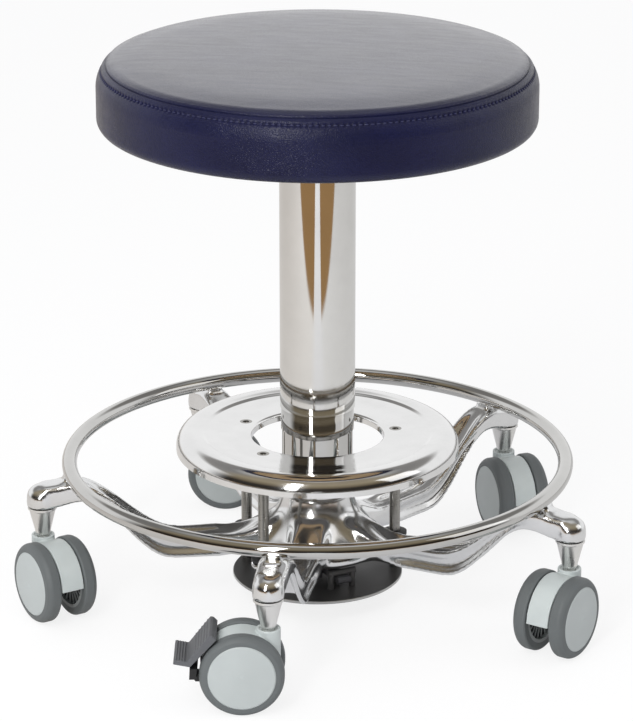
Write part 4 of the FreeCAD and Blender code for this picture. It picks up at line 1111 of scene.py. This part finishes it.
class STOOL_OT_inner_metal(bpy.types.Operator):
    """Finish the foot release and what carries the seat"""

    bl_idname = "stool.inner_metal"
    bl_label = "Release and lift"

    def execute(self, context):
        look = context.scene.stool_finish
        black = look.black_colour
        dress(satin_steel(look.steel_colour), "release_pillars")
        dress(plate_finish(look.plate_colour), "foot_plate")
        painted = moulded("black_paint", black, 0.38, 0.7)
        dress(painted, "seat_plate", "stand_tube", "gas_cylinder", "lift_tube")
        # The lever and its bracket are painted 4.2 times lighter than the black: painted light that offsets
        # the shade they sit in.
        dress(moulded("dull_black_lifted_against_shade", scaled(black, 4.2), 0.62, 0.7), "release_lever", "lever_bracket")
        zinc = polished("zinc_plate", ZINC, 0.25, 8.0)
        dress(zinc, "seat_screws", "piston_rod", "lever_pin", "valve_pin", "brake_pin")
        dress(zinc, *[f"caster_{name}_axle" for name in CASTERS])
        plastic = moulded("black_plastic", black, 0.45, 0.5, 0.03)
        dress(plastic, "guide_bush", "swivel_washer", "pillar_guides", "brake_shoe")
        dress(plywood(), "seat_board")
        return {"FINISHED"}


# Casters; the depths are along the axle, from the middle of the caster

INNER_FACE = 11.5 * MM
RIB_DEPTH = INNER_FACE + 4.0 * MM
WEB_DEPTH = INNER_FACE + 12.4 * MM
WELD = 0.002 * MM
HOOD_VOXEL = 0.6 * MM
PEDAL_VOXEL = 0.42 * MM


def soft_copy(node, voxel, rounds, material, body):
    """A moulded piece in place of a CAD node: the same shape with its edges rounded off."""
    source = cad_nodes[node]
    mesh = source.data.copy()
    mesh.transform(source.matrix_world)
    work = bmesh.new()
    work.from_mesh(mesh)
    bmesh.ops.remove_doubles(work, verts=work.verts, dist=WELD)
    work.to_mesh(mesh)
    work.free()
    piece = add_object(f"{node}_moulded", mesh)
    skin_over(piece, voxel, rounds)
    paint(piece, material)
    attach(piece, body)
    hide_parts(node)


class STOOL_OT_casters(bpy.types.Operator):
    """Finish wheels, hoods and the brake"""

    bl_idname = "stool.casters"
    bl_label = "Casters"

    def execute(self, context):
        look = context.scene.stool_finish
        rubber = moulded("grey_tread", look.tread_colour, 0.52, 0.5, 0.04)
        hood = moulded("pale_hood", look.hood_colour, 0.36, 0.8)
        pedal = moulded("pedal_grey", look.pedal_colour, 0.5, 0.5, 0.04)
        soft_copy("brake_pedal", PEDAL_VOXEL, 3, pedal, "brake")
        spins = {joint["child"]: joint for joint in frame["joints"]}
        for name in CASTERS:
            soft_copy(f"caster_{name}_housing", HOOD_VOXEL, 6, hood, f"caster_{name}")
            for number in (1, 2):
                wheel = f"caster_{name}_wheel_{number}"
                dress(rubber, f"{wheel}_tread")
                low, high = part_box(f"{wheel}_core")
                middle = Vector(spins[wheel]["pos_m"])
                axle = Vector(spins[wheel]["axis"])
                if ((low + high) / 2 - middle).dot(axle) < 0:
                    axle = -axle
                face = wheel_core_finish(f"{wheel}_finish", look.cap_colour, look.web_shade_colour, middle, axle)
                dress(face, f"{wheel}_core")
        return {"FINISHED"}


# Stage

WHITE = (1.0, 1.0, 1.0)
FLOOR_HALF = 9.0
UP = Vector((0.0, 0.0, 1.0))


def point_at(thing, place, aim):
    """Put a lamp or a camera in its place and turn it towards a point."""
    thing.location = place
    thing.rotation_euler = (aim - place).to_track_quat("-Z", "Y").to_euler()
    return thing


def add_lamp(name, place, aim_height, size, power, tint=WHITE):
    """A rectangular lamp that looks at a height on the column axis."""
    lamp = bpy.data.lights.new(name, "AREA")
    set_all(lamp, shape="RECTANGLE", size=size[0], size_y=size[1], energy=power, color=tint)
    return point_at(add_object(name, lamp), place, UP * aim_height)


def rays(tree):
    """Masks for what metal mirrors, and for what the camera sees, also through clear things."""
    path = put(tree, "ShaderNodeLightPath").outputs
    seen = math_node("MAXIMUM", path["Is Camera Ray"], path["Is Transmission Ray"])
    return path["Is Glossy Ray"], seen


def studio_world(towards, side):
    """White behind the object, and a dim warm room in front of it that only metal shows."""
    world = bpy.data.worlds.new("studio")
    world.use_nodes = True
    bpy.context.scene.world = world
    tree = world.node_tree
    tree.nodes.clear()
    way = put(tree, "ShaderNodeTexCoord").outputs["Generated"]
    up = upward(way)
    in_front = remap(dot(way, towards), -0.2, 0.25, smooth=True)
    overhead = (0.8, 0.8, 0.8)
    back = ramp(up, [
        (0.0, WHITE), (1.0, overhead), (0.52, WHITE), (0.62, (0.3, 0.29, 0.28)),
        (0.8, (0.24, 0.235, 0.23)), (0.92, (0.55, 0.55, 0.54)),
    ])
    room = ramp(up, [
        (0.0, (0.03, 0.026, 0.022)), (1.0, overhead), (0.28, (0.035, 0.03, 0.025)),
        (0.42, (0.15, 0.12, 0.08)), (0.7, (0.34, 0.29, 0.2)), (0.93, (0.3, 0.26, 0.2)),
    ])
    to_right = remap(dot(way, side), -1.0, 1.0)
    soft_light = blend(to_right, (0.94, 0.94, 0.96), (0.46, 0.46, 0.48))
    mirrored, seen = rays(tree)
    lit = blend(mirrored, soft_light, blend(in_front, back, room))
    sky = blend(seen, lit, WHITE)
    light = put(tree, "ShaderNodeBackground", {"Color": sky, "Strength": 1.0})
    put(tree, "ShaderNodeOutputWorld", {"Surface": light.outputs["Background"]})


def floor_finish(rgb, towards, side):
    """Pale floor that keeps soft shadows; for reflected rays it glows with a tinted sheet and warm boards
    far in front of it, a glow that stands in for a room.
    """
    material, place = new_material("pale_floor")
    tree = material.node_tree

    def glowing(tone, strength):
        node = put(tree, "ShaderNodeEmission", {"Color": tone, "Strength": strength})
        return node.outputs["Emission"]

    def mixed(factor, first, second):
        return put(tree, "ShaderNodeMixShader", {0: factor, 1: first, 2: second}).outputs["Shader"]

    forward = dot(place, towards)
    across = dot(place, side)
    mirrored, seen = rays(tree)
    far = remap(forward, 0.84, 0.9, smooth=True)
    aside = remap(math_node("ABSOLUTE", across), 0.15, 0.19, smooth=True)
    boards = math_node("MULTIPLY", math_node("MULTIPLY", far, aside), mirrored)
    fleck = noise(place, 240.0, detail=3.0)
    paper = put(tree, "ShaderNodeBsdfDiffuse", {"Color": mottled(fleck, rgb, 0.985, 1.015)})
    sheet = ramp(remap(across, -1.2, 1.2), [
        (0.0, (0.66, 0.57, 0.47)), (1.0, (0.62, 0.6, 0.56)), (0.4, (0.74, 0.68, 0.6)),
        (0.47, (0.78, 0.78, 0.8)), (0.55, (0.8, 0.8, 0.82)), (0.62, (0.72, 0.71, 0.68)),
    ])
    # Reflected rays see the floor glow with tinted colours and boards: a glow standing in for a room, seen
    # only in metal.
    glow = glowing(blend(mirrored, WHITE, sheet), 1.06)
    farther = remap(forward, 1.5, 1.6, smooth=True)
    wood = glowing(blend(farther, (0.36, 0.215, 0.095), (0.05, 0.045, 0.04)), 1.0)
    lift = math_node("ADD", math_node("MULTIPLY", seen, 0.78),
                     math_node("MULTIPLY", mirrored, 0.4))
    lit = mixed(lift, paper.outputs["BSDF"], glow)
    put(tree, "ShaderNodeOutputMaterial", {"Surface": mixed(boards, lit, wood)})
    return material


class STOOL_OT_stage(bpy.types.Operator):
    """Set up the pale floor, the soft light and the camera"""

    bl_idname = "stool.stage"
    bl_label = "Studio"

    def execute(self, context):
        scene = context.scene
        stage = scene.stool_stage
        scene.view_settings.view_transform = "Standard"
        place = Vector(stage.camera_place)
        towards = Vector((place.x, place.y, 0.0)).normalized()
        side = Vector((-towards.y, towards.x, 0.0))

        corners = [(x * FLOOR_HALF, y * FLOOR_HALF, 0.0) for x, y in CORNERS]
        floor = new_object("floor", corners, [(0, 1, 2, 3)])
        paint(floor, floor_finish(stage.floor_colour, towards, side))
        studio_world(towards, side)

        key_place = towards * 1.5 - side * 0.8 + UP * 2.2
        key = add_lamp("key", key_place, 0.3, (1.6, 1.2), stage.key_power)
        key.visible_glossy = False
        fill_place = side * 2.2 + towards * 0.6 + UP * 1.5
        add_lamp("fill", fill_place, 0.25, (1.4, 1.4), stage.fill_power, tint=(0.97, 0.98, 1.0))
        glint_place = towards * 2.0 - side * 0.75 + UP * 1.35
        add_lamp("glint", glint_place, 0.5, (0.3, 2.0), stage.glint_power)

        lens = bpy.data.cameras.new("camera")
        set_all(lens, lens=stage.camera_lens, sensor_width=36.0, shift_x=stage.camera_shift, clip_end=50.0)
        scene.camera = point_at(add_object("camera", lens), place, Vector(stage.camera_target))
        return {"FINISHED"}


# Panel and registration

OPERATORS = (
    STOOL_OT_cushion,
    STOOL_OT_seat_rows,
    STOOL_OT_casting,
    STOOL_OT_bright_metal,
    STOOL_OT_inner_metal,
    STOOL_OT_casters,
    STOOL_OT_stage,
)
SETTINGS = {
    "stool_seat": StoolSeatSettings,
    "stool_finish": StoolFinishSettings,
    "stool_stage": StoolStageSettings,
}


class STOOL_PT_panel(bpy.types.Panel):
    bl_idname = "STOOL_PT_panel"
    bl_label = "Surgeon stool"
    bl_space_type = "VIEW_3D"
    bl_region_type = "UI"
    bl_category = "Stool"

    def draw(self, context):
        for operator in OPERATORS:
            self.layout.operator(operator.bl_idname)
        for group, settings in SETTINGS.items():
            box = self.layout.box()
            for name in settings.__annotations__:
                box.prop(getattr(context.scene, group), name)


def register():
    for group, settings in SETTINGS.items():
        bpy.utils.register_class(settings)
        setattr(bpy.types.Scene, group, PointerProperty(type=settings))
    for operator in OPERATORS:
        bpy.utils.register_class(operator)
    bpy.utils.register_class(STOOL_PT_panel)


def unregister():
    bpy.utils.unregister_class(STOOL_PT_panel)
    for operator in reversed(OPERATORS):
        bpy.utils.unregister_class(operator)
    for group, settings in SETTINGS.items():
        delattr(bpy.types.Scene, group)
        bpy.utils.unregister_class(settings)


def main():
    register()
    bpy.ops.stool.stage()
    bpy.ops.stool.cushion()
    bpy.ops.stool.seat_rows()
    bpy.ops.stool.casting()
    bpy.ops.stool.bright_metal()
    bpy.ops.stool.inner_metal()
    bpy.ops.stool.casters()


if __name__ == "__main__":
    main()
